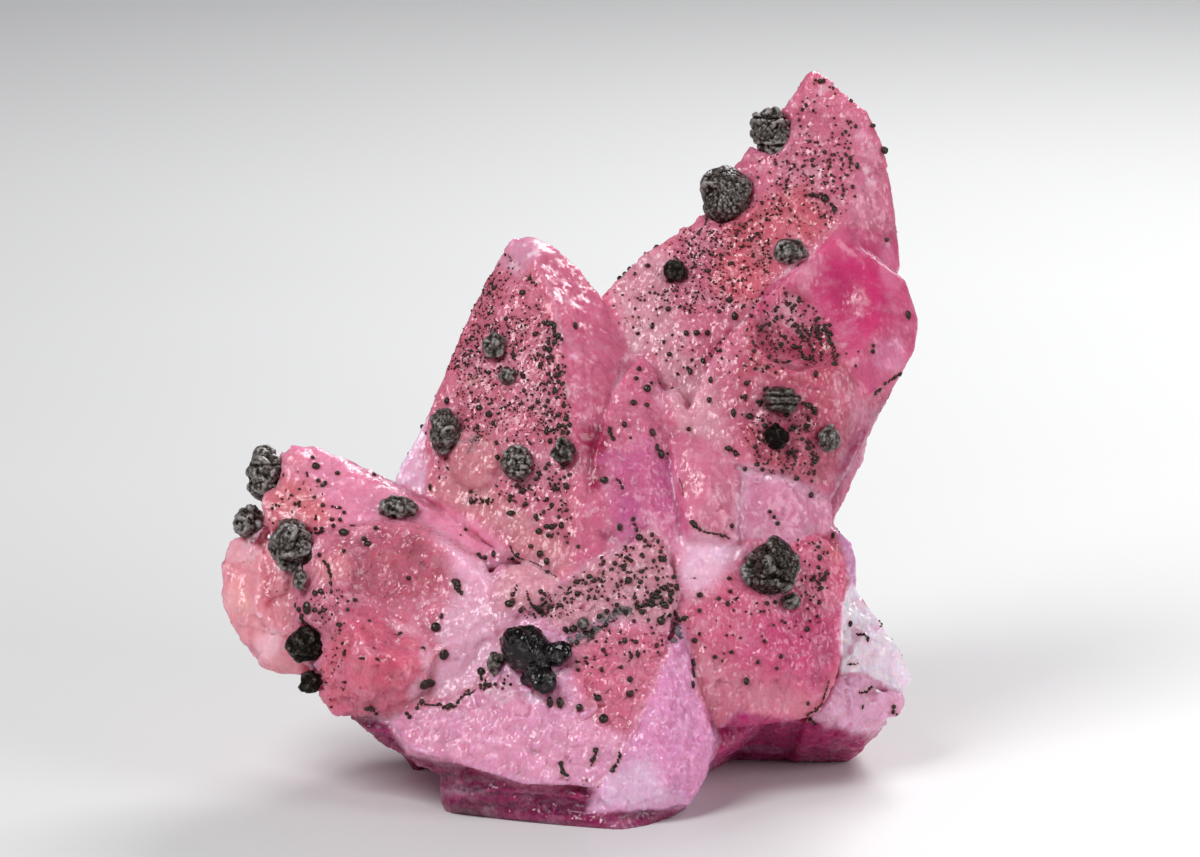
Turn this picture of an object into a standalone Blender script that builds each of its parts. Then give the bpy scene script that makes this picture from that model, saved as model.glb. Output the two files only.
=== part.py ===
"""A specimen of cobaltoan calcite: pink crystals grown together in one cluster, with dark nodules on their faces.

Run it with: blender --background --python part.py
The cluster is described as it is looked at from its display side. Every corner is (across, rise, depth) in
millimetres: across runs to the right and rise upward in the plane of the display face, and depth runs away from the
viewer. That face leans back by LEAN, so the whole frame is tilted by it before the specimen stands on its base.
"""

from math import cos, radians, sin, tan

import bmesh
import bpy
from mathutils import Matrix, Vector, noise
from mathutils.bvhtree import BVHTree

MM = 0.001
LEAN = radians(13.0)
FLOOR_SLOPE = tan(LEAN)

# The side in metres of the block that cuts the base flat, and how far in front lines of sight start, in millimetres.
BASE_CUT = 0.2
SIGHT_START = 60.0

# A nodule's seat: how much of it is sunk, its socket's size next to it, and the clear gap in millimetres.
NODULE_SINK = 0.22
SOCKET_SHARE = 1.11
SEAT_GAP = 0.35

# A nodule's surface: the height and number of its lumps, and the width in millimetres past which it gets more faces.
LUMP_SHARE = 0.10
LUMPS_PER_BALL = 1.7
FINE_NODULE = 2.6

CALCITE = ("calcite", (0.80, 0.25, 0.42, 1.0), 0.32)
DARK_OXIDE = ("dark_oxide", (0.045, 0.043, 0.046, 1.0), 0.62)
GLOSSY_OXIDE = ("glossy_oxide", (0.012, 0.012, 0.014, 1.0), 0.18)


def floor_rise(depth):
    """The rise at which the base plane lies at this depth."""
    return depth * FLOOR_SLOPE


def foot(across, depth, above=-0.6):
    """A corner at the base plane, a little below it so that the flat cut trims it."""
    return (across, floor_rise(depth) + above, depth)


# The crystals that grew together, each the hull of its own corners.
CRYSTALS = {
    "core": [
        (-15, 22, 12), (-12, 27, 24), (-4, 30, 14), (10, 31, 16), (20, 27, 18), (20, 30, 28), (-2, 33, 30),
        (21, 12, 16), (-17, 12, 13), (-15, 14, 28), (4, 6, 5), (-8, 8, 7), (12, 11, 10), (11, 24, 11),
        foot(-7, 9), foot(4, 4), foot(7.5, 15), foot(-8, 30), foot(18, 34),
    ],
    "tall_back": [
        (21.0, 64.5, 24.0), (20.3, 63.9, 24.2), (18.4, 61.5, 23.4), (15.4, 57.8, 22.2), (13.8, 55.4, 21.4),
        (10.4, 51.4, 19.8), (8.0, 43.0, 16.4), (10.0, 33.0, 12.8), (22.0, 36.0, 14.0),
        (23.3, 62.9, 23.4), (25.6, 61.0, 23.0), (26.9, 58.3, 22.6), (27.6, 54.0, 22.0), (28.4, 48.0, 21.4),
        (23.2, 51.3, 18.4), (21.6, 63.0, 27.0), (26.0, 57.0, 29.0), (28.0, 46.0, 30.0), (24.0, 34.0, 31.0),
        (12.4, 50.4, 27.5), (8.0, 30.0, 30.0), (9.0, 27.0, 18.0),
    ],
    "tall_shoulder": [
        (10.6, 51.5, 20.2), (9.8, 50.9, 19.8), (8.3, 49.3, 19.2), (6.4, 48.9, 19.2), (4.8, 47.2, 18.6),
        (2.7, 45.2, 18.0), (2.0, 40.0, 16.0), (7.0, 32.5, 12.9), (12.0, 40.0, 15.0), (12.0, 49.0, 19.0),
        (8.6, 48.4, 27.0), (4.0, 43.0, 27.0), (6.0, 30.0, 28.0), (14.0, 44.0, 28.0),
    ],
    "tall_front": [
        (23.0, 51.2, 17.9), (18.6, 47.4, 15.6), (14.6, 43.2, 13.4), (12.2, 40.4, 12.4), (9.2, 33.4, 11.4),
        (14.0, 31.0, 10.9), (19.0, 30.0, 11.4), (22.2, 28.0, 13.4), (22.0, 41.6, 12.4), (23.4, 35.0, 12.4),
        (28.7, 46.9, 19.6), (29.9, 43.0, 18.8), (29.6, 40.7, 18.2), (26.7, 36.4, 16.6), (23.8, 31.5, 15.2),
        (28.6, 44.0, 26.0), (27.0, 38.0, 25.0), (22.0, 27.0, 24.0), (12.0, 34.0, 22.0), (20.0, 48.0, 25.0),
    ],
    "tall_flank": [
        (24.6, 37.0, 20.0), (26.2, 35.6, 22.0), (25.0, 31.0, 21.0), (22.4, 25.6, 19.0), (21.0, 27.0, 25.0),
        (24.0, 34.0, 27.0), (18.0, 30.0, 20.0),
    ],
    "centre": [
        (-4.9, 49.8, 17.4), (-3.9, 50.1, 17.0), (-2.9, 50.0, 17.0), (-6.3, 48.1, 17.6), (-8.8, 43.1, 16.2),
        (-10.1, 40.0, 15.2), (-11.7, 36.0, 14.0), (-12.2, 33.6, 13.2), (-12.6, 28.3, 11.6),
        (-2.9, 48.4, 14.6), (-1.5, 45.0, 12.6), (-0.8, 42.0, 11.2), (-0.3, 37.5, 9.4), (0.4, 33.0, 8.0),
        (0.9, 27.0, 6.6), (0.4, 21.5, 5.8), (-0.9, 49.0, 17.4), (0.9, 47.4, 17.6), (2.6, 45.1, 17.4),
        (4.2, 41.0, 16.2), (7.6, 33.0, 13.0), (-6.0, 23.8, 8.4), (-2.6, 21.4, 6.6), (7.0, 22.0, 8.0),
        (-3.6, 47.6, 21.5), (-9.0, 38.0, 22.0), (2.2, 41.0, 23.0), (-11.0, 27.0, 22.0),
    ],
    "centre_right_wing": [
        (5.2, 39.5, 13.2), (6.1, 40.1, 13.4), (7.1, 39.5, 13.7), (7.7, 38.3, 13.6), (8.8, 32.2, 11.6),
        (10.2, 25.6, 9.4), (3.6, 37.0, 11.0), (2.0, 32.0, 7.9), (1.6, 26.0, 6.6), (1.4, 21.5, 6.0),
        (9.0, 21.0, 8.0), (6.5, 34.0, 9.8), (6.8, 27.5, 7.6), (6.0, 38.0, 18.0), (9.0, 26.0, 16.0),
    ],
    "slab_behind": [
        (-11.2, 36.8, 19.0), (-12.9, 33.4, 18.4), (-14.2, 31.2, 17.8), (-14.9, 29.2, 17.4), (-15.4, 26.0, 17.0),
        (-9.5, 38.6, 21.0), (-5.0, 40.5, 22.0), (-5.0, 39.5, 26.0), (-11.0, 35.0, 24.5), (-15.0, 27.0, 23.5),
        (-14.0, 18.0, 16.0), (-3.0, 24.0, 16.0), (-4.0, 30.0, 27.0),
    ],
    "upper_left": [
        (-24.8, 31.6, 13.2), (-23.8, 32.4, 13.8), (-21.8, 32.4, 14.4), (-18.0, 30.8, 15.2), (-15.0, 29.0, 15.8),
        (-12.2, 28.0, 15.8), (-5.0, 23.9, 13.0), (-26.3, 27.4, 11.0), (-25.4, 24.6, 10.2), (-19.0, 25.6, 8.6),
        (-10.0, 25.8, 9.6), (-7.0, 22.4, 8.4), (-25.4, 29.6, 17.0), (-21.0, 30.6, 20.6), (-14.0, 26.6, 22.0),
        (-24.0, 22.0, 14.0), (-22.0, 19.0, 20.0), (-12.0, 20.0, 22.0), (-8.0, 18.0, 10.0),
    ],
    "front_left": [
        (-22.6, 24.0, 8.2), (-21.0, 25.0, 8.4), (-18.8, 25.6, 8.2), (-15.0, 26.4, 8.6), (-12.4, 25.9, 8.2),
        (-9.2, 23.8, 7.4), (-7.2, 22.6, 7.2), (-23.1, 20.8, 7.4), (-23.2, 18.0, 7.2), (-21.9, 12.0, 7.2),
        (-19.9, 9.5, 6.8), (-16.5, 9.4, 5.6), (-13.6, 9.9, 4.8), (-11.6, 13.6, 4.0), (-10.4, 17.8, 3.8),
        (-15.6, 19.0, 3.9), (-19.8, 17.4, 5.0), (-6.4, 20.6, 5.2), (-7.0, 13.0, 4.6), (-8.0, 10.0, 6.0),
        (-21.0, 20.0, 14.0), (-19.6, 12.0, 13.0), (-10.0, 12.0, 14.0), (-8.0, 22.0, 14.0),
    ],
    "front_left_mound": [
        (-20.6, 15.4, 6.6), (-18.4, 18.2, 5.0), (-14.6, 18.4, 3.8), (-12.0, 16.4, 3.4), (-11.4, 14.2, 3.5),
        (-12.4, 11.8, 4.0), (-14.2, 10.3, 4.8), (-17.4, 9.6, 5.6), (-20.0, 11.2, 6.6), (-17.4, 14.6, 2.9),
        (-15.0, 13.2, 2.7), (-17.0, 11.8, 3.6), (-16.0, 14.0, 10.0),
    ],
    "far_left": [
        (-25.2, 24.5, 12.4), (-27.8, 24.8, 13.0), (-28.9, 24.3, 13.3), (-29.5, 22.8, 13.4), (-29.6, 19.0, 12.8),
        (-28.9, 17.4, 12.4), (-27.2, 15.6, 12.0), (-26.2, 13.7, 11.6), (-24.8, 13.1, 11.0), (-22.6, 12.9, 10.0),
        (-26.1, 23.6, 10.6), (-26.0, 19.2, 9.8), (-25.0, 15.2, 9.6), (-22.0, 20.0, 9.4), (-28.2, 23.4, 18.6),
        (-28.0, 18.6, 18.4), (-24.0, 14.8, 18.0), (-20.0, 22.0, 20.0), (-19.0, 14.0, 18.0),
    ],
    "seam_arch": [
        (-6.2, 21.0, 5.6), (-5.0, 22.5, 6.0), (-3.4, 22.7, 6.2), (-1.8, 21.9, 5.8), (-0.6, 20.4, 5.2),
        (-1.2, 18.6, 4.6), (-4.4, 18.0, 4.2), (-6.4, 18.6, 4.6), (-3.6, 20.2, 4.2), (-3.0, 20.0, 11.0),
    ],
    "front_low": [
        (-0.4, 21.1, 5.6), (3.0, 23.2, 6.0), (7.0, 25.2, 6.6), (7.9, 24.6, 6.8), (9.1, 20.4, 6.0), (8.2, 15.2, 4.4),
        (6.4, 10.6, 2.7), (3.6, 5.7, 0.9), (1.9, 3.8, 0.3), (-4.0, 3.9, 0.2), (-9.6, 5.9, 1.4), (-13.5, 6.7, 3.0),
        (-15.0, 9.0, 4.4), (-12.6, 10.6, 4.6), (-6.6, 13.0, 4.0), (-4.0, 18.0, 4.6), (-5.0, 9.4, 1.0),
        (4.0, 20.0, 14.0), (-10.0, 9.0, 13.0), (4.0, 6.0, 10.0),
    ],
    "front_lilac": [
        (9.3, 17.4, 5.6), (8.5, 15.0, 4.1), (6.8, 10.8, 2.5), (4.0, 5.9, 0.8), (2.4, 3.4, 0.0), (3.2, 1.5, 0.2),
        (7.0, 1.7, 1.4), (10.2, 2.1, 3.4), (11.6, 4.4, 4.4), (12.2, 7.6, 5.2), (10.7, 11.2, 5.3), (10.3, 14.4, 5.9),
        (8.0, 3.6, 1.0), (9.6, 8.0, 3.2), (6.2, 6.4, 1.0), (11.0, 8.0, 13.0), (6.0, 12.0, 12.0), foot(7, 11),
    ],
    "dark_base_left": [
        (-18.8, 9.4, 8.0), (-16.2, 7.4, 7.0), (-14.6, 6.6, 6.0), (-12.8, 5.4, 5.2), (-11.2, 4.7, 5.0),
        (-13.0, 7.2, 3.4), (-9.4, 5.8, 2.4), (-8.0, 4.8, 3.0), (-9.0, 4.4, 8.0), (-18.0, 11.0, 14.0),
        (-10.0, 8.0, 14.0), (-14.0, 10.0, 5.0),
    ],
    "dark_base": [
        (-11.0, 4.4, 5.8), (-11.0, 2.6, 6.2), (-9.6, 5.2, 2.9), (-9.5, 2.2, 4.0), (-2.0, 3.6, 1.7),
        (2.4, 3.0, 1.2), foot(-10.4, 6.6), foot(-6.0, 4.8), foot(-1.0, 2.4), foot(2.0, 1.2), foot(5.0, 0.2),
        foot(8.0, 3.8), foot(10.0, 8.2), (9.8, 2.6, 5.0), foot(-9.0, 16.0), foot(10.0, 16.0), (0.0, 9.0, 10.0),
        (-9.0, 9.0, 14.0),
    ],
    "right_crystal": [
        (8.8, 24.4, 8.4), (13.8, 24.6, 9.6), (19.2, 24.2, 10.6), (21.0, 24.9, 11.6), (22.0, 24.4, 12.0),
        (23.4, 22.7, 12.2), (23.4, 19.0, 11.4), (23.2, 14.8, 10.6), (22.6, 12.4, 10.2), (21.2, 9.9, 9.8),
        (20.0, 9.2, 9.6), (14.0, 10.2, 8.0), (12.4, 8.4, 7.0), (10.8, 11.0, 6.4), (9.6, 17.0, 6.2),
        (9.0, 21.0, 6.8), (17.6, 13.4, 7.2), (16.0, 20.0, 7.8), (22.0, 21.0, 20.0), (21.0, 11.4, 18.0),
        (12.0, 12.0, 18.0), (12.0, 23.0, 18.0),
    ],
    "middle_right": [
        (8.4, 33.1, 10.6), (9.6, 33.4, 10.9), (11.2, 33.1, 11.1), (13.0, 32.0, 11.2), (14.4, 30.0, 10.8),
        (14.4, 24.0, 9.0), (10.2, 25.2, 7.7), (8.9, 30.0, 9.2), (11.6, 29.4, 8.4), (9.0, 22.4, 9.4),
        (12.0, 21.0, 12.0), (11.0, 31.0, 18.0), (7.6, 26.0, 14.0),
    ],
    "middle_far_right": [
        (14.0, 30.8, 11.4), (19.0, 29.8, 12.0), (22.3, 27.8, 14.0), (22.3, 25.2, 13.8), (19.0, 23.4, 10.8),
        (13.6, 23.8, 9.2), (17.0, 27.2, 10.6), (21.0, 23.0, 20.0), (13.0, 24.0, 18.0), (20.0, 30.0, 22.0),
    ],
    "violet_sliver": [
        (21.6, 25.8, 15.2), (23.1, 24.9, 15.8), (23.9, 24.0, 16.2), (24.3, 22.4, 16.4), (24.4, 20.4, 16.8),
        (22.8, 17.0, 14.0), (21.0, 20.0, 14.0), (22.0, 24.0, 22.0), (23.0, 18.0, 22.0),
    ],
    "pale_upper": [
        (24.3, 20.3, 18.0), (25.1, 18.8, 18.0), (27.0, 16.3, 18.4), (28.4, 14.4, 18.6), (29.1, 12.5, 18.8),
        (28.3, 11.3, 18.4), (25.0, 12.9, 16.0), (22.8, 12.6, 15.0), (22.6, 19.0, 15.6), (25.4, 16.0, 15.8),
        (26.0, 17.0, 25.0), (27.6, 12.4, 24.6), (21.0, 13.0, 24.0), (21.0, 20.0, 24.0),
    ],
    "pale_stub": [
        (24.6, 10.8, 15.8), (24.4, 9.2, 15.8), (26.8, 9.0, 16.6), (28.0, 9.3, 17.2), (28.5, 10.2, 17.4),
        (28.3, 11.3, 17.6), (26.2, 11.4, 15.8), (27.0, 10.0, 22.0), (23.6, 10.0, 22.0),
    ],
    "pale_lower": [
        (22.9, 12.8, 14.6), (25.2, 12.6, 16.0), (27.0, 10.0, 17.4), (26.8, 8.5, 18.0), (25.4, 7.0, 19.2),
        (24.0, 5.9, 20.6), (20.2, 9.0, 13.6), (19.6, 7.2, 16.4), (21.8, 10.4, 12.6), (23.8, 8.0, 15.6),
        foot(23.6, 24.0), foot(19.0, 23.6), foot(24.0, 30.0), foot(17.0, 31.0), (25.4, 10.0, 28.0),
    ],
    "rear_foot": [
        (11.0, 10.0, 14.0), (14.0, 9.9, 13.4), (20.4, 8.8, 14.2), (12.0, 6.6, 20.6), (17.0, 6.6, 20.6),
        foot(11.6, 24.8), foot(19.6, 24.0), foot(20.0, 36.0), foot(8.0, 36.0), (12.0, 14.0, 30.0),
    ],
    "back_upper": [
        (8.0, 47.0, 31.0), (12.0, 49.5, 31.5), (15.0, 46.0, 33.0), (16.5, 37.0, 36.0), (9.0, 38.0, 35.6),
        (2.5, 38.0, 31.5), (4.0, 24.0, 34.0), (18.0, 26.0, 35.0), (20.0, 38.0, 31.0), (10.0, 24.0, 24.0),
        (6.0, 42.0, 26.0), (16.0, 46.0, 27.0),
    ],
    "back_left": [
        (-9.0, 36.0, 28.5), (-5.6, 37.4, 29.4), (-2.0, 34.4, 31.4), (-3.4, 26.0, 35.0), (-11.4, 26.4, 33.0),
        (-14.6, 28.6, 28.0), (-16.4, 18.0, 29.0), (-6.0, 14.0, 35.0), (2.0, 18.0, 36.0), (-8.0, 22.0, 22.0),
        (1.0, 28.0, 28.0),
    ],
    "back_low_left": [
        (-20.4, 21.4, 21.0), (-22.6, 18.0, 21.6), (-20.8, 14.4, 22.6), (-15.4, 12.0, 28.0), (-16.8, 19.6, 27.4),
        (-12.0, 22.0, 27.0), foot(-9.6, 26.0), foot(-13.0, 20.0), (-10.0, 16.0, 16.0),
    ],
    "back_right": [
        (22.4, 27.0, 27.0), (24.6, 21.4, 27.6), (23.6, 15.4, 30.0), (18.4, 15.4, 36.8), (16.8, 23.4, 36.4),
        (20.0, 29.4, 31.0), (12.0, 26.0, 34.0), foot(13.0, 37.0), foot(21.4, 32.0), (14.0, 18.0, 20.0),
    ],
    "back_low": [
        (-6.4, 17.0, 37.2), (3.0, 21.0, 38.4), (9.6, 17.0, 38.6), (4.4, 12.4, 40.0), (-5.6, 12.6, 38.4),
        foot(-7.0, 35.0), foot(2.0, 38.6), foot(11.0, 37.0), (0.0, 16.0, 26.0),
    ],
}

# Round, clear or frosted growths on the faces: centre, then half sizes along across, rise and depth.
ROUND_GROWTHS = {
    "clear_bead": ((-8.1, 31.3, 13.2), (2.3, 2.2, 1.7)),
    "clear_facet": ((-23.2, 30.9, 14.0), (1.7, 1.3, 1.5)),
    "knee": ((-10.9, 18.2, 5.2), (2.6, 2.5, 1.9)),
}

# Shallow shell-shaped hollows: centre, half sizes and turn in degrees of the egg that scoops each one.
HOLLOWS = {
    "tall_bowl": ((24.0, 47.3, 11.7), (10.5, 6.2, 6.0), 44.0),
    "left_dish": ((-13.8, 22.2, -1.4), (10.4, 8.8, 9.0), -12.0),
    "base_step": ((-3.0, 2.2, -3.6), (9.0, 2.0, 6.0), -4.0),
}

# The dark nodules: across, rise, width, height and, where one hangs past an edge, its depth.
NODULES = {
    "nodule_tall_tip": (17.1, 59.3, 3.3, 4.4, 22.6),
    "nodule_tall_edge": (13.3, 53.7, 4.4, 5.1, 20.6),
    "nodule_tall_left": (8.9, 47.3, 2.3, 2.3, None),
    "nodule_tall_crest": (18.7, 49.0, 3.0, 2.2, None),
    "nodule_tall_banded": (17.9, 36.3, 3.2, 2.6, None),
    "nodule_tall_spiky": (17.5, 33.2, 2.3, 2.2, None),
    "nodule_tall_low": (22.0, 33.0, 2.2, 2.4, None),
    "nodule_centre_high": (-6.5, 40.9, 2.2, 2.4, None),
    "nodule_centre_mid": (-5.3, 38.4, 1.7, 1.9, None),
    "nodule_centre_edge": (-10.6, 33.6, 2.7, 4.2, None),
    "nodule_centre_rough": (-4.5, 31.0, 2.7, 2.9, None),
    "nodule_centre_ridge": (-0.5, 31.9, 2.3, 2.3, None),
    "nodule_left_top": (-26.0, 30.0, 3.0, 4.6, 13.4),
    "nodule_left_edge": (-27.3, 25.9, 2.5, 2.7, 12.6),
    "nodule_left_fork": (-23.6, 24.0, 3.7, 4.4, 9.0),
    "nodule_left_small": (-22.8, 21.1, 1.4, 2.5, None),
    "nodule_left_seam": (-14.5, 27.2, 3.4, 2.0, None),
    "nodule_left_low": (-22.3, 15.6, 3.2, 3.2, 7.2),
    "nodule_left_low_tail": (-21.9, 12.5, 2.2, 2.2, 7.2),
    "nodule_front_grey": (-6.3, 14.1, 1.7, 2.2, None),
    "nodule_front_small": (1.1, 17.4, 1.5, 1.4, None),
    "nodule_right_big": (17.1, 22.2, 4.2, 4.2, None),
    "nodule_right_tail": (18.8, 19.2, 2.0, 1.5, None),
}

# The one glossy nodule is a bunch of lobes grown into each other: across, rise and size of each lobe.
GLOSSY_LOBES = [(-3.6, 15.3, 4.1), (-0.9, 14.9, 2.4), (-2.6, 12.9, 2.8)]


def clear_scene():
    for thing in list(bpy.data.objects):
        bpy.data.objects.remove(thing)


def to_world(corner):
    """A display-face corner in millimetres as a world point in metres, before the specimen is centred."""
    across, rise, depth = corner
    return MM * Vector((
        across,
        depth * cos(LEAN) + rise * sin(LEAN),
        rise * cos(LEAN) - depth * sin(LEAN),
    ))


def new_collection(name, parent=None):
    collection = bpy.data.collections.new(name)
    (parent or bpy.context.scene.collection).children.link(collection)
    return collection


def new_material(name, color, roughness):
    material = bpy.data.materials.new(name)
    material.use_nodes = True
    shader = material.node_tree.nodes["Principled BSDF"]
    shader.inputs["Base Color"].default_value = color
    shader.inputs["Roughness"].default_value = roughness
    material.diffuse_color = color
    return material


def add_object(name, shape, collection):
    """Makes an object from a finished bmesh."""
    mesh = bpy.data.meshes.new(name)
    shape.to_mesh(mesh)
    shape.free()
    thing = bpy.data.objects.new(name, mesh)
    collection.objects.link(thing)
    return thing


def as_guide(thing):
    thing.hide_render = True
    thing.display_type = "WIRE"
    return thing


def crystal_hull(corners):
    """One crystal: the smallest flat-faced solid around its corners."""
    shape = bmesh.new()
    for corner in corners:
        shape.verts.new(to_world(corner))
    hull = bmesh.ops.convex_hull(shape, input=shape.verts)
    inside = [v for v in hull["geom_interior"] if isinstance(v, bmesh.types.BMVert)]
    bmesh.ops.delete(shape, geom=inside, context="VERTS")
    bmesh.ops.recalc_face_normals(shape, faces=shape.faces)
    return shape


def egg(centre, half_sizes, detail, turn=0.0):
    """An egg shape from a ball, turned by so many degrees in the plane of the display face."""
    shape = bmesh.new()
    bmesh.ops.create_icosphere(shape, subdivisions=detail, radius=1.0)
    stretch = Matrix.Diagonal(Vector(half_sizes))
    turning = Matrix.Rotation(radians(turn), 3, "Z")
    for vert in shape.verts:
        vert.co = to_world(turning @ stretch @ vert.co.xzy + Vector(centre))
    return shape


def boolean(thing, operation, operand):
    """Joins or cuts the thing with an object or with a whole collection."""
    modifier = thing.modifiers.new(operation.lower(), "BOOLEAN")
    modifier.operation = operation
    modifier.solver = "EXACT"
    if isinstance(operand, bpy.types.Collection):
        modifier.operand_type = "COLLECTION"
        modifier.collection = operand
    else:
        modifier.object = operand


def base_block():
    """The space under the base plane, cut away so that the specimen stands flat."""
    shape = bmesh.new()
    bmesh.ops.create_cube(shape, size=BASE_CUT)
    bmesh.ops.translate(shape, verts=shape.verts, vec=(0.0, 0.0, -BASE_CUT / 2))
    return shape


def grow_cluster(parts, guides):
    """All the crystals and round growths joined in one solid, with its hollows scooped and its base cut flat."""
    joined = new_collection("crystals_to_join", guides)
    scoops = new_collection("hollows", guides)
    for name, corners in CRYSTALS.items():
        if name != "core":
            as_guide(add_object("crystal_" + name, crystal_hull(corners), joined))
    for name, (centre, half_sizes) in ROUND_GROWTHS.items():
        as_guide(add_object("growth_" + name, egg(centre, half_sizes, 2), joined))
    for name, (centre, half_sizes, turn) in HOLLOWS.items():
        as_guide(add_object("hollow_" + name, egg(centre, half_sizes, 3, turn), scoops))
    as_guide(add_object("base_cut", base_block(), scoops))
    cluster = add_object("calcite_cluster", crystal_hull(CRYSTALS["core"]), parts)
    boolean(cluster, "UNION", joined)
    boolean(cluster, "DIFFERENCE", scoops)
    return cluster


def surface_of(thing):
    """A search tree over the object's finished surface."""
    bpy.context.view_layer.update()
    return BVHTree.FromObject(thing, bpy.context.evaluated_depsgraph_get())


def depth_at(surface, across, rise):
    """The depth at which a line of sight first meets the surface."""
    start = to_world((across, rise, -SIGHT_START))
    forward = to_world((0.0, 0.0, 1.0)).normalized()
    spot = surface.ray_cast(start, forward)[0]
    return (spot - start).length / MM - SIGHT_START


def seated_depth(surface, across, rise, half_depth):
    """The depth of a nodule's middle when it is sunk a little into the face behind it."""
    return depth_at(surface, across, rise) - half_depth * (1.0 - 2.0 * NODULE_SINK)


def lumpy_egg(centre, half_sizes, detail, seed):
    """A nodule: an egg shape with low lumps on it, the same each run."""
    shape = egg((0.0, 0.0, 0.0), half_sizes, detail)
    middle = to_world(centre)
    size = MM * max(half_sizes)
    for vert in shape.verts:
        lump = noise.noise(vert.co / size * LUMPS_PER_BALL + Vector((seed, 0.0, 0.0)))
        vert.co = middle + vert.co * (1.0 + LUMP_SHARE * lump)
    return shape


def cut_socket(name, centre, half_sizes, sockets):
    """The cutter for a nodule's socket: its own form with a clear gap around it, in few faces."""
    room = [half * SOCKET_SHARE + SEAT_GAP for half in half_sizes]
    as_guide(add_object("socket_" + name, egg(centre, room, 1), sockets))


def grow_nodules(parts, surface, sockets, material):
    """Each dark nodule as its own solid, sunk a little into the face that it grew on."""
    for seed, (name, (across, rise, width, height, depth)) in enumerate(NODULES.items()):
        half_sizes = (width / 2, height / 2, (width + height) / 4)
        if depth is None:
            depth = seated_depth(surface, across, rise, half_sizes[2])
        centre = (across, rise, depth)
        detail = 2 if max(width, height) > FINE_NODULE else 1
        nodule = add_object(name, lumpy_egg(centre, half_sizes, detail, seed), parts)
        nodule.data.materials.append(material)
        cut_socket(name, centre, half_sizes, sockets)


def grow_glossy_nodule(parts, guides, surface, sockets, material):
    """The shiny black bunch on the front crystal: its lobes joined in one solid."""
    bunch = None
    for seed, (across, rise, width) in enumerate(GLOSSY_LOBES, start=len(NODULES)):
        half = width / 2
        centre = (across, rise, seated_depth(surface, across, rise, half))
        shape = lumpy_egg(centre, (half, half, half), 2, seed)
        cut_socket("glossy_%d" % seed, centre, (half, half, half), sockets)
        if bunch is None:
            bunch = add_object("nodule_front_glossy", shape, parts)
            bunch.data.materials.append(material)
        else:
            boolean(bunch, "UNION", as_guide(add_object("lobe_%d" % seed, shape, guides)))


def shift_to_origin(parts):
    """The move that puts the world origin at the middle of the bounding box's bottom."""
    bpy.context.view_layer.update()
    graph = bpy.context.evaluated_depsgraph_get()
    corners = [Vector(corner) for thing in parts.objects for corner in thing.evaluated_get(graph).bound_box]
    middle_x = (min(c.x for c in corners) + max(c.x for c in corners)) / 2
    middle_y = (min(c.y for c in corners) + max(c.y for c in corners)) / 2
    return Vector((-middle_x, -middle_y, 0.0))


def main():
    clear_scene()
    parts = new_collection("cobaltoan_calcite_specimen")
    guides = new_collection("cutters")
    sockets = new_collection("sockets", guides)
    calcite, dark, glossy = [new_material(*look) for look in (CALCITE, DARK_OXIDE, GLOSSY_OXIDE)]
    cluster = grow_cluster(parts, guides)
    cluster.data.materials.append(calcite)
    surface = surface_of(cluster)
    grow_nodules(parts, surface, sockets, dark)
    grow_glossy_nodule(parts, guides, surface, sockets, glossy)
    boolean(cluster, "DIFFERENCE", sockets)
    shift = shift_to_origin(parts)
    for thing in bpy.data.objects:
        thing.location = shift
    bpy.context.view_layer.update()


main()
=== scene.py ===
"""The looks of the cobaltoan calcite specimen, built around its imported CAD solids.

Shapes are worked out in millimetres. The display frame is the one that the specimen is looked at in:
across runs to the right and rise upward in the plane of the photograph, and depth runs away from the
viewer. It leans back by LEAN.
"""

from math import cos, radians, sin

import bmesh
import bpy
import numpy as np
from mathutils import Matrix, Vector
from mathutils.bvhtree import BVHTree
from mathutils.kdtree import KDTree


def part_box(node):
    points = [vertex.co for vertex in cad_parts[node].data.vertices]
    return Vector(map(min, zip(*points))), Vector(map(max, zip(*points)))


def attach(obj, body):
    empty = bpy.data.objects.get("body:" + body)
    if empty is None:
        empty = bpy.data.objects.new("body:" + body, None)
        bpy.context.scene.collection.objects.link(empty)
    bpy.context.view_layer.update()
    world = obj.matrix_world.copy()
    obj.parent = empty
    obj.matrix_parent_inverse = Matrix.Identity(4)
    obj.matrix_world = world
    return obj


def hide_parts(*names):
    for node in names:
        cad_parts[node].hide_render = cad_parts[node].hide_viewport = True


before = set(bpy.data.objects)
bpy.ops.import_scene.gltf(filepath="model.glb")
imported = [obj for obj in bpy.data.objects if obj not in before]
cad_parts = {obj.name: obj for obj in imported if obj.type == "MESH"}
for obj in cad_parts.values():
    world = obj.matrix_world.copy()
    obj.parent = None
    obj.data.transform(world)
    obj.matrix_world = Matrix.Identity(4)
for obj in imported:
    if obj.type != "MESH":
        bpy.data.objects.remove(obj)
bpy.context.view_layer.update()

MM = 0.001
LEAN = radians(13.0)

# The photograph: its size in pixels, the real size of one, and the pixel where across and rise are zero.
PHOTO_SIZE = (1200, 857)
PIXEL = 0.085
ZERO_PIXEL = (570, 827)

# Where the display frame's zero lies in the CAD frame, and the depth of the plane that PIXEL holds for.
DISPLAY_ZERO = np.array([-0.15, -21.8955, 0.0])
PLANE_DEPTH = 12.0
CAMERA_DISTANCE = 1200.0
SENSOR = 36.0


# Frames of reference

def display_to_world(points):
    """Points (across, rise, depth) in the world, all in millimetres."""
    points = np.asarray(points, float)
    across, rise, depth = points[..., 0], points[..., 1], points[..., 2]
    return np.stack([
        across,
        depth * cos(LEAN) + rise * sin(LEAN),
        rise * cos(LEAN) - depth * sin(LEAN),
    ], axis=-1) + DISPLAY_ZERO


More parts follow.
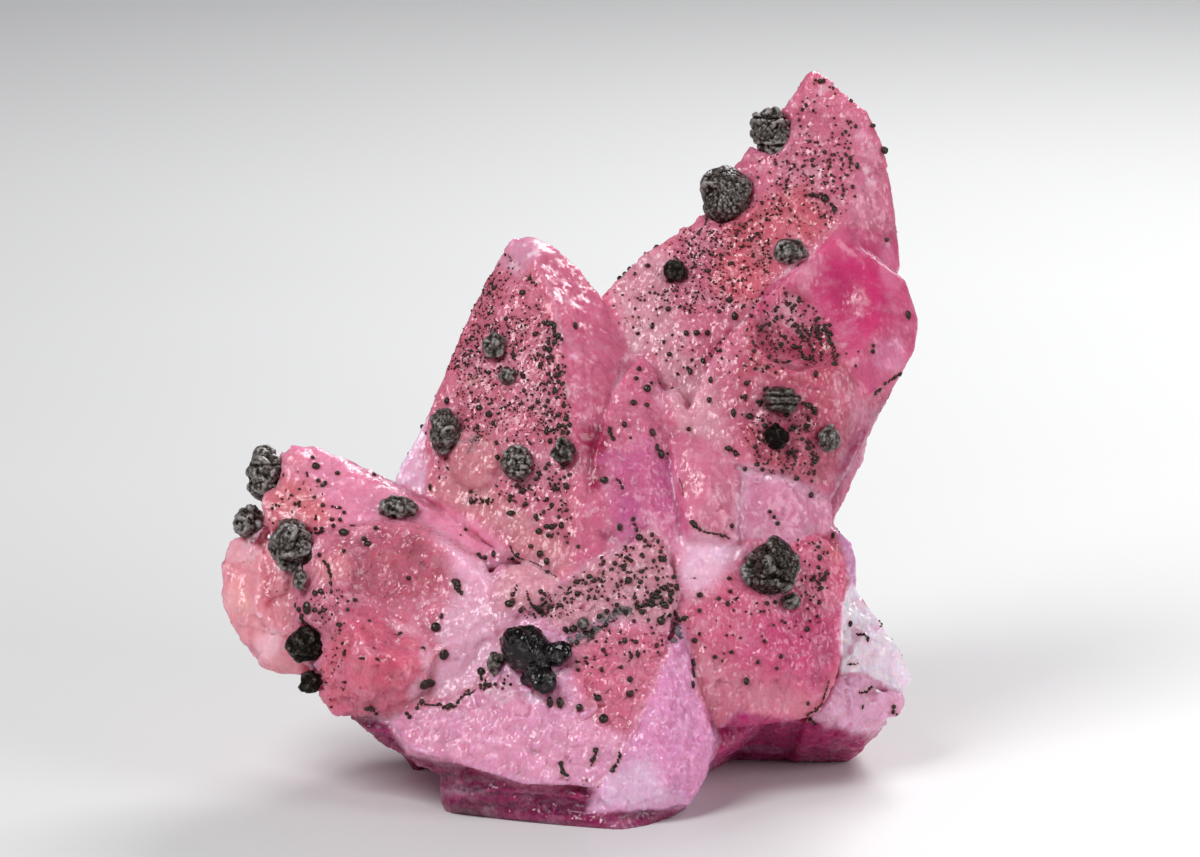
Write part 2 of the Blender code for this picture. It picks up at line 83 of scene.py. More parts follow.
def world_to_display(points):
    x, y, z = (points - DISPLAY_ZERO).T
    return np.stack([x, y * sin(LEAN) + z * cos(LEAN), y * cos(LEAN) - z * sin(LEAN)], axis=-1)


AIM = (
    (PHOTO_SIZE[0] / 2 - ZERO_PIXEL[0]) * PIXEL,
    (ZERO_PIXEL[1] - PHOTO_SIZE[1] / 2) * PIXEL,
)
EYE = display_to_world([AIM[0], AIM[1], PLANE_DEPTH - CAMERA_DISTANCE])
# The way up the photograph and the way into it, as directions in the world
UPWARD = display_to_world([0.0, 1.0, 0.0]) - display_to_world([0.0, 0.0, 0.0])
FORWARD = display_to_world([0.0, 0.0, 1.0]) - display_to_world([0.0, 0.0, 0.0])


# Noise, all of it repeatable

# Large odd numbers that set neighbouring cells and seeds far apart
CELL_STRIDES = (73856093, 19349663, 83492791)
SEED_STRIDE = 40503
# Each round of mixing: how far the bits are shifted, and what they are multiplied by
MIX_ROUNDS = ((13, 1274126177), (15, 461845907))

# The seed of each noise
SEEDS = {
    "step_wander": 7, "broad_waves": 11, "finer_waves": 12, "pellet_knobs": 17, "pellet_lumps": 19,
    "grain": 21, "facets": 31, "fine_facets": 33, "form_waver": 41, "tint_waver": 61, "pale_clouds": 71,
    "blotches": 81, "base_bands": 91, "pellet_clumps": 91, "back_clumps": 95, "nodule_blocks": 200,
    "nodule_lumps": 300, "nodule_small_lumps": 340, "nodule_grain": 400, "nodule_clefts": 500,
    "pellets": 2024,
}


def mixed_bits(cell, seed):
    """A well mixed whole number for each whole-numbered cell."""
    mix = seed * SEED_STRIDE
    for axis, stride in enumerate(CELL_STRIDES):
        mix = mix ^ cell[..., axis] * stride
    for shift, factor in MIX_ROUNDS:
        mix = (mix ^ (mix >> shift)) * factor & 0xFFFFFFFF
    return mix ^ (mix >> 16)


def lattice(cell, seed):
    """A number from 0 to 1 for each whole-numbered cell."""
    return (mixed_bits(cell, seed) & 0xFFFF) / 65535.0


def value_noise(points, size, seed):
    """Smooth noise from -1 to 1 with features of that size."""
    scaled = points / size
    base = np.floor(scaled).astype(np.int64)
    part = scaled - base
    part = part * part * (3.0 - 2.0 * part)
    total = np.zeros(len(points))
    for corner in np.ndindex(2, 2, 2):
        weight = np.prod(np.where(corner, part, 1.0 - part), axis=1)
        total += weight * lattice(base + np.array(corner), seed)
    return total * 2.0 - 1.0


def cloud_noise(points, size, seed, octaves=3):
    """Value noise with finer and finer layers."""
    layers = [value_noise(points, size / 2 ** n, seed + n) / 2 ** n for n in range(octaves)]
    return sum(layers)


def cell_noise(points, size, seed):
    """The nearest scattered centre: the way from it, how far it is, and its own number from 0 to 1."""
    scaled = points / size
    base = np.floor(scaled).astype(np.int64)
    part = scaled - base
    near = np.full(len(points), 9.0)
    way = np.zeros((len(points), 3))
    number = np.zeros(len(points))
    for step in np.ndindex(3, 3, 3):
        step = np.array(step) - 1
        bits = mixed_bits(base + step, seed)
        jitter = np.stack([bits & 0x3FF, bits >> 10 & 0x3FF, bits >> 20 & 0x3FF], axis=-1) / 1023.0
        offset = part - step - jitter
        far = np.einsum("ij,ij->i", offset, offset)
        closer = far < near
        near = np.where(closer, far, near)
        way[closer] = offset[closer]
        number[closer] = (bits[closer] >> 5 & 0xFF) / 255.0
    return way * size, np.sqrt(near) * size, number


def tilted_facets(points, size, seed):
    """Heights from about -1 to 1 of a crust of small flat facets, each tilted its own way."""
    way, _, number = cell_noise(points, size, seed)
    turn = number * 97.0
    lean = np.stack([np.sin(turn), np.cos(turn * 1.7), np.sin(turn * 2.3)], axis=-1)
    return (way * lean).sum(axis=1) / size * 1.4


def smooth_step(low, high, value):
    share = np.clip((value - low) / (high - low), 0.0, 1.0)
    return share * share * (3.0 - 2.0 * share)


# Areas of the display face, each an outline of (across, rise) points in millimetres

AREAS = {
    "tall": [
        (21.2, 65.5), (24.0, 63.4), (26.5, 61.0), (28.4, 58.0), (29.4, 52.0), (31.0, 45.0), (31.0, 40.5),
        (29.0, 38.0), (26.5, 34.0), (24.2, 31.0), (22.6, 27.6), (19.0, 29.7), (16.0, 30.3), (14.0, 31.1),
        (13.0, 32.1), (11.0, 33.2), (8.6, 33.2), (8.0, 36.0), (7.0, 39.7), (6.0, 40.2), (5.0, 39.9),
        (3.2, 43.6), (1.6, 46.5), (8.0, 51.0), (13.0, 57.0), (18.0, 63.0),
    ],
    "tall_pale_left": [
        (1.6, 46.0), (6.0, 49.6), (8.8, 49.8), (9.0, 45.0), (10.0, 40.5), (12.6, 37.8), (13.6, 32.0),
        (11.0, 33.2), (8.6, 33.2), (8.0, 36.0), (6.9, 39.8), (5.0, 39.8),
    ],
    "tall_rose_mid": [(13.0, 52.0), (20.0, 55.5), (22.8, 51.2), (18.6, 47.6), (14.4, 43.0), (12.0, 46.0)],
    "tall_edge_strip": [
        (21.6, 65.4), (24.2, 63.4), (26.2, 61.5), (28.4, 58.0), (29.2, 50.4), (23.4, 51.4), (24.1, 60.0),
    ],
    "tall_smooth": [
        (23.2, 51.3), (29.2, 50.4), (31.0, 44.0), (30.6, 40.4), (28.6, 37.2), (24.6, 36.6), (22.6, 41.2),
        (21.8, 42.8), (15.6, 43.6), (14.4, 43.0), (16.6, 45.8), (18.7, 47.6), (20.8, 49.3),
    ],
    "tall_heart": [
        (20.8, 49.2), (25.6, 50.2), (28.6, 47.6), (28.0, 43.2), (26.0, 41.0), (22.6, 41.4), (20.2, 45.6),
    ],
    "tall_low": [
        (15.4, 43.3), (21.8, 42.8), (22.6, 41.2), (24.4, 38.0), (24.2, 32.4), (22.4, 28.6), (19.0, 29.7),
        (16.0, 30.4), (14.6, 33.0), (13.8, 38.0),
    ],
    "tall_under": [
        (28.4, 37.4), (25.6, 33.4), (23.6, 29.4), (22.6, 25.4), (21.6, 28.0), (23.2, 31.8), (25.4, 35.6),
    ],
    "slab": [(-11.0, 37.2), (-13.1, 33.8), (-14.6, 31.4), (-15.4, 28.4), (-12.4, 28.2), (-12.2, 34.0)],
    "centre_left": [
        (-3.4, 48.9), (-2.2, 47.0), (-1.5, 45.0), (-0.8, 42.0), (-0.5, 38.0), (0.2, 34.0), (0.9, 30.0),
        (0.9, 26.0), (0.2, 21.4), (-1.0, 20.9), (-3.0, 22.2), (-6.0, 24.5), (-12.4, 28.1), (-12.4, 34.0),
        (-10.4, 40.0), (-7.4, 47.4), (-5.6, 49.6),
    ],
    "centre_right": [
        (-5.8, 49.4), (-4.0, 50.8), (-2.0, 50.3), (1.0, 48.8), (3.2, 45.8), (5.0, 41.0), (3.8, 37.0),
        (3.2, 34.0), (3.0, 28.0), (3.0, 22.8), (0.2, 21.4), (0.9, 26.0), (0.9, 30.0), (0.2, 34.0),
        (-0.5, 38.0), (-0.8, 42.0), (-1.5, 45.0), (-2.2, 47.0), (-3.4, 48.9),
    ],
    "centre_tip": [(-6.6, 47.8), (-5.4, 49.8), (-3.6, 50.8), (-1.6, 50.2), (-2.8, 48.4), (-4.4, 46.6)],
    "centre_foot": [
        (-12.6, 28.4), (-10.6, 30.4), (-6.0, 28.6), (-3.0, 26.6), (-0.4, 24.4), (0.2, 21.4), (-3.0, 22.2),
        (-8.0, 26.0),
    ],
    "centre_deep": [(0.6, 34.6), (3.2, 34.4), (3.4, 29.4), (1.4, 27.8)],
    "wing": [
        (3.2, 34.0), (3.8, 37.0), (4.7, 39.8), (6.1, 40.5), (7.3, 39.9), (8.2, 37.6), (9.2, 32.0),
        (9.9, 28.0), (10.6, 25.2), (8.8, 22.4), (7.4, 25.0), (3.0, 23.0), (3.0, 28.0),
    ],
    "wing_violet": [
        (2.8, 31.6), (6.0, 33.4), (9.0, 32.0), (9.7, 28.0), (10.6, 25.2), (8.8, 22.4), (7.4, 25.0),
        (3.4, 23.2),
    ],
    "middle_right": [
        (8.4, 33.3), (9.6, 33.6), (11.2, 33.3), (13.1, 32.2), (14.5, 30.2), (14.2, 27.0), (13.8, 24.4),
        (12.4, 24.9), (10.2, 25.8), (9.5, 28.0), (9.0, 31.0),
    ],
    "middle_far": [
        (14.5, 30.4), (16.0, 30.4), (19.0, 29.8), (22.5, 28.2), (22.8, 25.2), (19.3, 24.0), (14.0, 24.3),
        (14.1, 27.0),
    ],
    "upper_left": [
        (-26.8, 26.8), (-26.0, 28.4), (-25.2, 32.0), (-23.8, 33.0), (-21.6, 33.0), (-18.0, 31.4),
        (-14.8, 29.4), (-12.2, 28.2), (-7.0, 25.4), (-4.8, 23.8), (-7.3, 23.1), (-9.0, 23.8), (-12.0, 25.8),
        (-15.0, 26.5), (-19.0, 25.7), (-22.4, 24.8), (-25.4, 24.2),
    ],
    "upper_left_red": [
        (-26.8, 26.8), (-25.4, 30.4), (-22.0, 29.6), (-19.4, 26.0), (-22.4, 24.8), (-25.4, 24.2),
    ],
    "far_left": [
        (-23.4, 25.0), (-27.8, 25.2), (-29.2, 24.8), (-30.2, 22.8), (-30.2, 19.0), (-29.4, 17.0),
        (-27.5, 15.2), (-26.6, 13.3), (-24.8, 12.6), (-22.2, 12.6), (-21.6, 14.8), (-23.4, 17.6),
    ],
    "front_left": [
        (-22.8, 24.4), (-19.0, 25.7), (-15.0, 26.5), (-12.0, 25.8), (-9.0, 23.8), (-7.3, 23.0),
        (-6.2, 21.0), (-6.5, 18.0), (-5.0, 14.5), (-7.0, 12.6), (-9.0, 11.4), (-10.0, 10.3), (-13.0, 10.3),
        (-14.0, 9.7), (-20.0, 9.0), (-22.4, 11.0), (-22.2, 12.6), (-21.2, 14.0), (-23.5, 17.0),
        (-23.6, 20.0),
    ],
    "front_left_dish": [
        (-20.4, 24.2), (-15.0, 25.8), (-11.6, 24.6), (-10.2, 21.6), (-11.6, 19.6), (-15.6, 18.8),
        (-18.8, 20.0),
    ],
    "front_left_light": [
        (-12.0, 25.6), (-9.0, 23.7), (-7.2, 22.8), (-6.2, 21.0), (-6.4, 18.0), (-5.2, 14.6), (-7.0, 12.6),
        (-9.0, 11.4), (-11.6, 11.0), (-11.2, 14.6), (-11.6, 17.0), (-10.0, 20.0), (-10.2, 23.0),
    ],
    "mound": [
        (-21.8, 12.0), (-21.0, 15.4), (-18.6, 18.0), (-14.6, 18.3), (-12.0, 16.4), (-11.5, 14.3),
        (-12.5, 11.9), (-14.4, 9.8), (-19.6, 9.0),
    ],
    "seam_arch": [
        (-6.3, 18.6), (-6.2, 21.0), (-5.0, 22.8), (-3.4, 22.9), (-1.8, 22.0), (-0.6, 20.8), (-1.0, 19.0),
        (-3.8, 18.6),
    ],
    "front_low": [
        (-0.4, 21.2), (3.0, 23.4), (7.0, 25.5), (8.1, 24.8), (9.4, 20.4), (8.5, 15.1), (6.7, 10.6),
        (3.9, 5.7), (2.2, 3.5), (-4.0, 3.7), (-9.6, 5.6), (-13.8, 6.4), (-15.4, 9.2), (-12.8, 10.4),
        (-9.0, 11.3), (-6.6, 12.8), (-5.0, 16.0), (-4.0, 18.6),
    ],
    "front_low_crust": [
        (-0.4, 21.2), (3.0, 23.4), (7.0, 25.5), (8.1, 24.8), (9.4, 20.4), (8.6, 17.0), (3.4, 17.6),
        (-1.0, 17.0), (-3.8, 18.6),
    ],
    "front_low_red": [
        (8.6, 17.4), (8.4, 15.0), (6.6, 10.6), (4.8, 7.6), (2.0, 8.8), (0.2, 12.6), (-0.4, 16.6),
        (3.6, 17.4),
    ],
    "front_lilac": [
        (9.4, 17.8), (8.5, 15.1), (6.7, 10.6), (3.9, 5.7), (2.2, 3.5), (1.4, 1.4), (7.0, 1.6), (10.3, 1.8),
        (12.0, 4.3), (12.7, 7.6), (10.9, 11.2), (10.5, 14.4),
    ],
    "front_lilac_white": [
        (2.2, 3.5), (3.9, 5.7), (6.6, 6.8), (8.4, 4.0), (10.0, 2.4), (7.0, 1.6), (1.4, 1.4),
    ],
    "right_crystal": [
        (8.8, 24.6), (13.8, 24.6), (19.2, 24.2), (21.0, 25.2), (22.2, 24.8), (23.8, 22.8), (23.8, 19.0),
        (23.6, 14.8), (23.0, 12.2), (21.4, 9.6), (20.0, 9.0), (14.0, 10.1), (12.4, 8.3), (10.9, 11.2),
        (9.8, 17.0), (9.2, 21.0),
    ],
    "right_pale_top": [(8.8, 24.8), (13.8, 24.8), (15.4, 23.6), (12.6, 20.8), (10.2, 19.0), (9.2, 21.0)],
    "right_rose_deep": [(19.2, 19.0), (23.8, 19.0), (23.6, 14.0), (20.6, 11.8), (13.4, 14.4), (14.4, 17.6)],
    "right_foot": [
        (12.4, 8.3), (10.9, 11.2), (10.4, 16.4), (12.0, 15.0), (16.0, 12.4), (20.0, 11.6), (21.4, 9.6),
        (20.0, 9.0), (14.0, 10.1),
    ],
    "sliver": [(22.4, 25.4), (24.2, 25.2), (25.0, 21.0), (24.2, 19.6), (23.6, 21.6), (23.2, 23.6)],
    "pale_upper": [
        (24.0, 20.8), (25.3, 19.0), (27.2, 16.6), (29.0, 14.4), (29.6, 12.4), (28.4, 11.2), (25.2, 13.0),
        (23.0, 12.8), (23.2, 19.0),
    ],
    "pale_lower": [
        (22.8, 12.9), (25.2, 13.0), (28.6, 11.3), (28.8, 9.6), (27.0, 8.2), (24.4, 7.6), (20.2, 9.0),
        (21.4, 10.4),
    ],
    "rear_foot": [
        (10.9, 11.2), (12.4, 8.3), (14.0, 10.1), (20.0, 9.1), (22.0, 8.4), (25.8, 7.4), (24.4, 4.4),
        (11.6, 4.4), (12.5, 7.6),
    ],
    "dark_base": [
        (-19.4, 9.8), (-16.0, 6.8), (-13.0, 4.8), (-11.6, 4.0), (-11.6, 0.6), (0.0, -0.6), (5.0, -0.9),
        (9.0, 0.4), (10.3, 1.8), (7.0, 1.5), (1.4, 1.5), (2.2, 3.4), (-4.0, 3.7), (-9.6, 5.6), (-13.8, 6.4),
        (-15.4, 9.2),
    ],
}

# The colour of each area as it looks, and the width over which it fades in, in millimetres. They are painted
# in this order.
TINTS = [
    ("tall", (208, 116, 142), 0.5), ("tall_pale_left", (216, 152, 168), 1.8),
    ("tall_rose_mid", (212, 106, 124), 2.4), ("tall_edge_strip", (208, 120, 148), 1.4),
    ("tall_smooth", (206, 94, 134), 0.5), ("tall_heart", (198, 52, 112), 3.6),
    # tall_under: its own deep magenta, darkened with painted shade on the underside of the tall crystal
    ("tall_low", (192, 92, 116), 1.0), ("tall_under", (152, 24, 92), 1.4), ("slab", (240, 206, 228), 0.4),
    ("centre_left", (214, 122, 146), 0.3), ("centre_right", (208, 108, 140), 0.3),
    ("centre_tip", (214, 152, 178), 1.2), ("centre_foot", (212, 136, 148), 1.6),
    ("centre_deep", (156, 26, 74), 1.0), ("wing", (210, 116, 146), 0.6),
    ("wing_violet", (200, 102, 146), 2.6), ("middle_right", (208, 120, 148), 0.5),
    ("middle_far", (210, 132, 164), 2.4), ("upper_left", (232, 146, 176), 0.3),
    ("upper_left_red", (214, 118, 130), 1.6), ("far_left", (230, 152, 164), 0.3),
    ("front_left", (208, 122, 146), 0.3), ("front_left_dish", (190, 96, 118), 1.6),
    ("front_left_light", (232, 176, 200), 1.4), ("mound", (218, 110, 136), 1.2),
    ("seam_arch", (222, 158, 172), 0.5), ("front_low", (228, 158, 190), 0.3),
    ("front_low_crust", (212, 148, 164), 1.0), ("front_low_red", (212, 112, 140), 1.4),
    ("front_lilac", (226, 150, 194), 0.3), ("front_lilac_white", (226, 186, 214), 2.0),
    ("right_crystal", (210, 104, 136), 0.3), ("right_pale_top", (244, 196, 220), 2.2),
    ("right_rose_deep", (206, 84, 130), 2.2), ("right_foot", (212, 124, 146), 1.4),
    ("sliver", (206, 150, 192), 0.3), ("pale_upper", (255, 238, 252), 0.3),
    # rear_foot: deep magenta with painted shade under the crystal above it
    ("pale_lower", (236, 176, 206), 0.8), ("rear_foot", (178, 32, 108), 0.5),
    # dark_base: its own banded deep magenta, darkened further with painted shade at the foot
    ("dark_base", (134, 26, 82), 0.6),
]
# The back and its pale clouds, the dark foot that rings the base, its own deep magenta with painted shade,
# and the stains around the pellets
BACK_TINT = (208, 128, 156)
BACK_PALE_TINT = (228, 184, 206)
BASE_TINT_WITH_SHADE = (150, 50, 96)
STAIN_TINT = (176, 112, 104)
STAIN_STRENGTH = 0.30
# How wide a stain is around its pellet, and how far out it is worked out, in millimetres
STAIN_WIDTH = 0.22
STAIN_REACH = 1.1
# How much overlapping stains deepen each other, and how light the stained colour is
STAIN_DEPTH = 0.8
STAIN_LIGHT = 1.7
# The sizes of the pale clouds at the back, the blotches everywhere and the bands of the base, in millimetres,
# and how strong the blotches and bands are
PALE_CLOUDS = 9.0
BLOTCHES = 2.6
BASE_BANDS = 0.5
BLOTCH_STRENGTH = 0.08
BAND_STRENGTH = 0.6
# How the growth bands of the dark base are drawn out across it
BAND_STRETCH = np.array([0.12, 1.5, 0.12])
# How the fine facets compare with the grain that they are added to
FINE_SHARE = 1.6
# How frosted the glassy areas are, from 0 to 1; the other faces are fully frosted
FROST = {
    "tall_smooth": 0.22, "tall_edge_strip": 0.6, "centre_right": 0.5, "centre_tip": 0.4, "wing_violet": 0.6,
    "far_left": 0.6, "front_left_light": 0.6, "upper_left": 0.6, "middle_right": 0.5, "middle_far": 0.5,
    "right_pale_top": 0.5, "front_lilac_white": 0.5, "slab": 0.4,
}
BACK_FROST = 0.6
SPOT_STRENGTH = 0.8

# How rough each area's faces are: height of the waves, of the small facets, of the growth steps and of the
# grain, in millimetres. The last number is the size of one facet.
RELIEF = {
    "": (0.14, 0.10, 0.05, 0.020, 1.4),
    "tall_smooth": (0.20, 0.03, 0.03, 0.008, 2.4),
    "centre_right": (0.12, 0.09, 0.04, 0.016, 1.2),
    "wing_violet": (0.12, 0.10, 0.03, 0.016, 0.9),
    "upper_left": (0.14, 0.11, 0.05, 0.020, 1.4),
    "front_low_crust": (0.10, 0.13, 0.02, 0.030, 0.8),
    "front_low_red": (0.14, 0.20, 0.05, 0.030, 1.1),
    "front_low": (0.14, 0.24, 0.05, 0.020, 1.1),
    "front_lilac": (0.12, 0.13, 0.04, 0.020, 0.8),
    "front_left_light": (0.14, 0.15, 0.05, 0.020, 1.2),
    "mound": (0.20, 0.18, 0.07, 0.020, 1.2),
    "front_left_dish": (0.14, 0.18, 0.08, 0.020, 1.0),
    "dark_base": (0.10, 0.15, 0.14, 0.020, 0.9),
    "right_crystal": (0.16, 0.13, 0.05, 0.020, 1.5),
    "far_left": (0.16, 0.34, 0.05, 0.012, 2.6),
    "pale_upper": (0.14, 0.22, 0.05, 0.020, 1.4),
    "pale_lower": (0.14, 0.20, 0.05, 0.020, 1.4),
}

# Small growth steps: how far the left-hand side stands out, how far that reaches, and the step's points
LEDGES = [
    (
        0.34, 1.3,
        [
            (12.0, 40.4), (13.0, 41.6), (14.4, 43.0), (15.4, 44.4), (16.6, 45.9), (18.5, 47.6),
            (19.6, 48.6), (21.0, 49.6), (22.2, 50.6), (23.0, 51.4),
        ],
    ),
    (0.16, 0.8, [(0.6, 31.6), (0.2, 34.0), (-0.5, 38.0), (-0.8, 42.0), (-1.5, 45.0), (-2.4, 47.4)]),
    (
        0.22, 0.8,
        [
            (-14.0, 10.4), (-12.4, 11.8), (-11.7, 13.8), (-12.6, 15.6), (-14.6, 16.9), (-17.0, 17.6),
            (-19.5, 16.6),
        ],
    ),
    (0.16, 0.6, [(-14.6, 11.4), (-13.3, 12.6), (-13.4, 14.4), (-15.2, 15.8), (-17.6, 15.6)]),
    (
        -0.20, 0.8,
        [(-20.4, 21.4), (-18.5, 20.0), (-15.6, 19.5), (-13.2, 20.6), (-11.8, 22.2), (-11.6, 24.2)],
    ),
    (0.14, 0.5, [(-13.6, 19.8), (-12.9, 21.6), (-13.0, 24.6)]),
    (-0.22, 0.8, [(-19.8, 24.6), (-17.8, 25.5), (-15.0, 25.8), (-12.6, 25.2), (-10.2, 24.0), (-8.6, 23.2)]),
    (0.42, 0.9, [(-25.2, 16.0), (-26.4, 18.4), (-26.3, 21.0), (-26.0, 24.2)]),
    (0.34, 0.7, [(-29.2, 22.4), (-27.0, 22.8), (-25.6, 23.8)]),
    (0.34, 0.7, [(-28.6, 17.6), (-26.8, 17.0), (-25.0, 16.4)]),
    (0.16, 0.6, [(2.3, 3.6), (3.9, 5.7), (5.2, 7.8), (6.7, 10.7), (8.4, 15.2), (9.3, 18.0)]),
    (0.30, 0.8, [(-11.2, 3.7), (-6.0, 3.3), (-1.0, 2.8), (1.8, 2.6)]),
    (0.28, 0.7, [(-11.2, 2.6), (-6.0, 2.2), (-1.0, 1.8), (2.6, 1.6)]),
    (0.24, 0.6, [(-11.0, 1.6), (-5.0, 1.0), (0.0, 0.6), (5.0, 0.4)]),
    (-0.18, 0.6, [(23.0, 12.9), (25.0, 13.2), (27.0, 12.3), (28.4, 11.4)]),
    (0.14, 0.6, [(12.6, 14.0), (15.0, 13.2), (18.0, 13.6), (20.4, 12.2)]),
    (-0.16, 0.6, [(14.4, 10.2), (17.0, 10.0), (19.6, 9.6)]),
    (0.18, 0.6, [(9.6, 28.0), (9.2, 31.0), (8.6, 33.2)]),
    (0.14, 0.5, [(14.2, 30.4), (14.3, 27.2), (13.8, 24.6)]),
    (0.14, 0.6, [(-22.4, 30.0), (-20.0, 29.2), (-16.6, 29.4), (-13.6, 28.4)]),
    (0.18, 0.6, [(-1.0, 20.9), (-2.0, 21.8), (-3.5, 22.5), (-5.0, 22.4), (-6.0, 21.2)]),
    (0.12, 0.5, [(19.8, 38.0), (18.4, 37.6), (18.6, 39.4), (20.2, 39.6)]),
    (
        0.26, 0.4,
        [
            (-5.8, 31.4), (-6.4, 33.2), (-8.0, 33.9), (-9.6, 33.0), (-10.3, 31.2), (-9.6, 29.4),
            (-8.0, 28.6), (-6.4, 29.4), (-5.8, 31.0),
        ],
    ),
]

# Rounded growths: across, rise, half width, half height and how far they stand out
DOMES = [
    (-8.0, 31.2, 2.3, 2.6, 0.9), (-11.0, 18.0, 1.5, 1.2, 0.4), (-2.6, 20.0, 1.6, 1.4, 0.4),
    (-23.6, 31.0, 1.3, 1.0, 0.18), (-19.4, 22.2, 1.4, 2.2, 0.4), (-17.6, 13.2, 2.6, 2.4, 0.3),
    (21.4, 64.8, 2.8, 2.4, 0.42), (-3.6, 50.2, 3.6, 2.2, 0.26),
]

# Pale chips, painted glints, painted highlights along the crest, streaks and deeper patches: across, rise,
# half width, half height, turn, colour
SPOTS = [
    (-8.0, 31.2, 2.4, 2.7, 0.0, (208, 134, 142)), (-8.2, 32.6, 0.9, 0.6, 0.0, (190, 92, 104)),
    (-3.4, 48.8, 0.65, 0.16, 0.0, (250, 232, 240)), (-4.8, 47.7, 0.4, 0.4, 0.0, (240, 206, 220)),
    (-0.3, 37.3, 0.18, 0.7, 15.0, (240, 210, 222)), (0.5, 40.0, 0.45, 0.25, 0.0, (236, 190, 208)),
    (21.7, 55.5, 0.8, 0.16, 10.0, (236, 178, 192)), (25.4, 56.0, 0.35, 0.25, 0.0, (244, 214, 228)),
    (25.7, 55.0, 0.2, 0.2, 0.0, (244, 214, 228)), (24.9, 59.1, 0.5, 0.3, 0.0, (226, 160, 182)),
    (24.8, 49.0, 0.8, 0.12, -30.0, (228, 150, 182)), (23.1, 41.0, 0.42, 0.2, 0.0, (250, 214, 228)),
    (14.3, 42.6, 0.6, 0.3, 30.0, (232, 180, 192)), (21.8, 63.0, 0.5, 0.4, 0.0, (216, 150, 170)),
    (-8.2, 38.0, 0.5, 0.4, 0.0, (216, 168, 168)), (-2.9, 11.3, 0.9, 0.7, 20.0, (240, 200, 222)),
    (-5.6, 11.4, 1.4, 0.8, 0.0, (230, 180, 200)), (0.2, 18.9, 1.2, 0.7, 0.0, (214, 140, 158)),
    (-13.6, 24.0, 1.3, 1.0, 0.0, (168, 78, 100)), (-16.4, 24.6, 1.6, 0.8, 20.0, (176, 84, 108)),
    (-25.6, 20.4, 0.6, 2.2, 0.0, (204, 106, 124)), (-23.6, 31.0, 1.3, 1.0, 0.0, (216, 132, 148)),
    (-15.6, 13.4, 1.6, 1.2, 30.0, (200, 84, 112)), (-17.4, 18.6, 2.0, 0.8, 0.0, (206, 100, 128)),
    (20.8, 12.6, 1.2, 0.8, 40.0, (190, 70, 118)), (21.8, 15.0, 0.8, 1.4, -20.0, (192, 78, 122)),
    (22.6, 23.2, 1.0, 0.8, -40.0, (206, 112, 128)), (16.6, 6.4, 2.2, 0.4, 0.0, (196, 120, 166)),
    (-9.0, 3.2, 2.4, 0.3, 0.0, (170, 110, 140)), (3.2, 31.6, 1.2, 0.5, 20.0, (196, 92, 142)),
    (5.2, 26.2, 0.9, 2.2, 10.0, (190, 90, 142)), (8.0, 29.6, 0.6, 2.2, 0.0, (190, 90, 138)),
    (3.2, 24.8, 0.8, 0.7, 0.0, (160, 60, 100)), (19.4, 44.6, 1.2, 1.6, 30.0, (190, 78, 112)),
    (20.0, 41.2, 2.2, 1.2, 0.0, (176, 66, 92)), (27.2, 47.6, 0.9, 2.2, 10.0, (214, 120, 156)),
    (27.4, 40.2, 1.4, 1.4, 0.0, (218, 124, 164)), (24.6, 35.4, 0.7, 1.6, 30.0, (214, 132, 162)),
    # The two thin pale lines on the crest: its frosted rim, lightened further as a painted highlight of its
    # bright edge
    (15.6, 44.4, 2.0, 0.16, 42.0, (234, 170, 188)), (19.6, 48.1, 2.6, 0.14, 38.0, (238, 178, 196)),
    (-20.2, 22.0, 1.9, 1.5, 20.0, (218, 140, 152)), (23.8, 45.0, 1.6, 1.8, 0.0, (190, 52, 108)),
    (-12.2, 14.6, 0.5, 1.5, 8.0, (230, 168, 190)), (-13.9, 17.0, 1.6, 0.5, -22.0, (226, 156, 178)),
    (-13.0, 12.0, 0.6, 1.2, -30.0, (230, 168, 190)), (-28.2, 19.4, 1.2, 1.6, 20.0, (240, 172, 172)),
    (-25.4, 23.2, 0.7, 1.6, 10.0, (222, 128, 146)), (-27.8, 23.4, 1.6, 1.0, 0.0, (238, 180, 190)),
    (-25.4, 15.6, 1.4, 1.2, 0.0, (240, 190, 200)),
]


# A distance past any on the specimen, and how far from an outline it is still worth measuring, in millimetres
FAR_AWAY = 99.0
OUTLINE_MARGIN = 4.0


def edge_gap(points, start, end):
    """How far each point lies from an edge, and how far along it the nearest place is, from 0 to 1."""
    edge = end - start
    share = np.clip(((points - start) @ edge) / (edge @ edge), 0.0, 1.0)
    gap = points - start - share[:, None] * edge
    return np.sqrt((gap * gap).sum(axis=1)), share


def along_route(route, flat):
    """Each point's distance from a route, its side of it (1 is left), and how far inside its ends it is."""
    route = np.array(route, float)
    nearest = np.full(len(flat), FAR_AWAY)
    side = np.ones(len(flat))
    inside = np.zeros(len(flat))
    reach = np.concatenate([[0.0], np.cumsum(np.hypot(*np.diff(route, axis=0).T))])
    for n, (start, end) in enumerate(zip(route, route[1:])):
        edge = end - start
        far, share = edge_gap(flat, start, end)
        closer = far < nearest
        nearest = np.where(closer, far, nearest)
        turn = edge[0] * (flat[:, 1] - start[1]) - edge[1] * (flat[:, 0] - start[0])
        side = np.where(closer, np.sign(turn), side)
        place = (reach[n] + share * (reach[n + 1] - reach[n])) / reach[-1]
        inside = np.where(closer, np.minimum(1.0, 5.0 * np.minimum(place, 1.0 - place)), inside)
    return nearest, side, inside


def wavering(points, display, size, far, seed):
    """The (across, rise) of each point, moved a little, so that no line drawn with them runs too straight."""
    moves = [value_noise(points, size, seed), value_noise(points, size, seed + 1)]
    return display[:, :2] + np.stack(moves, axis=-1) * far


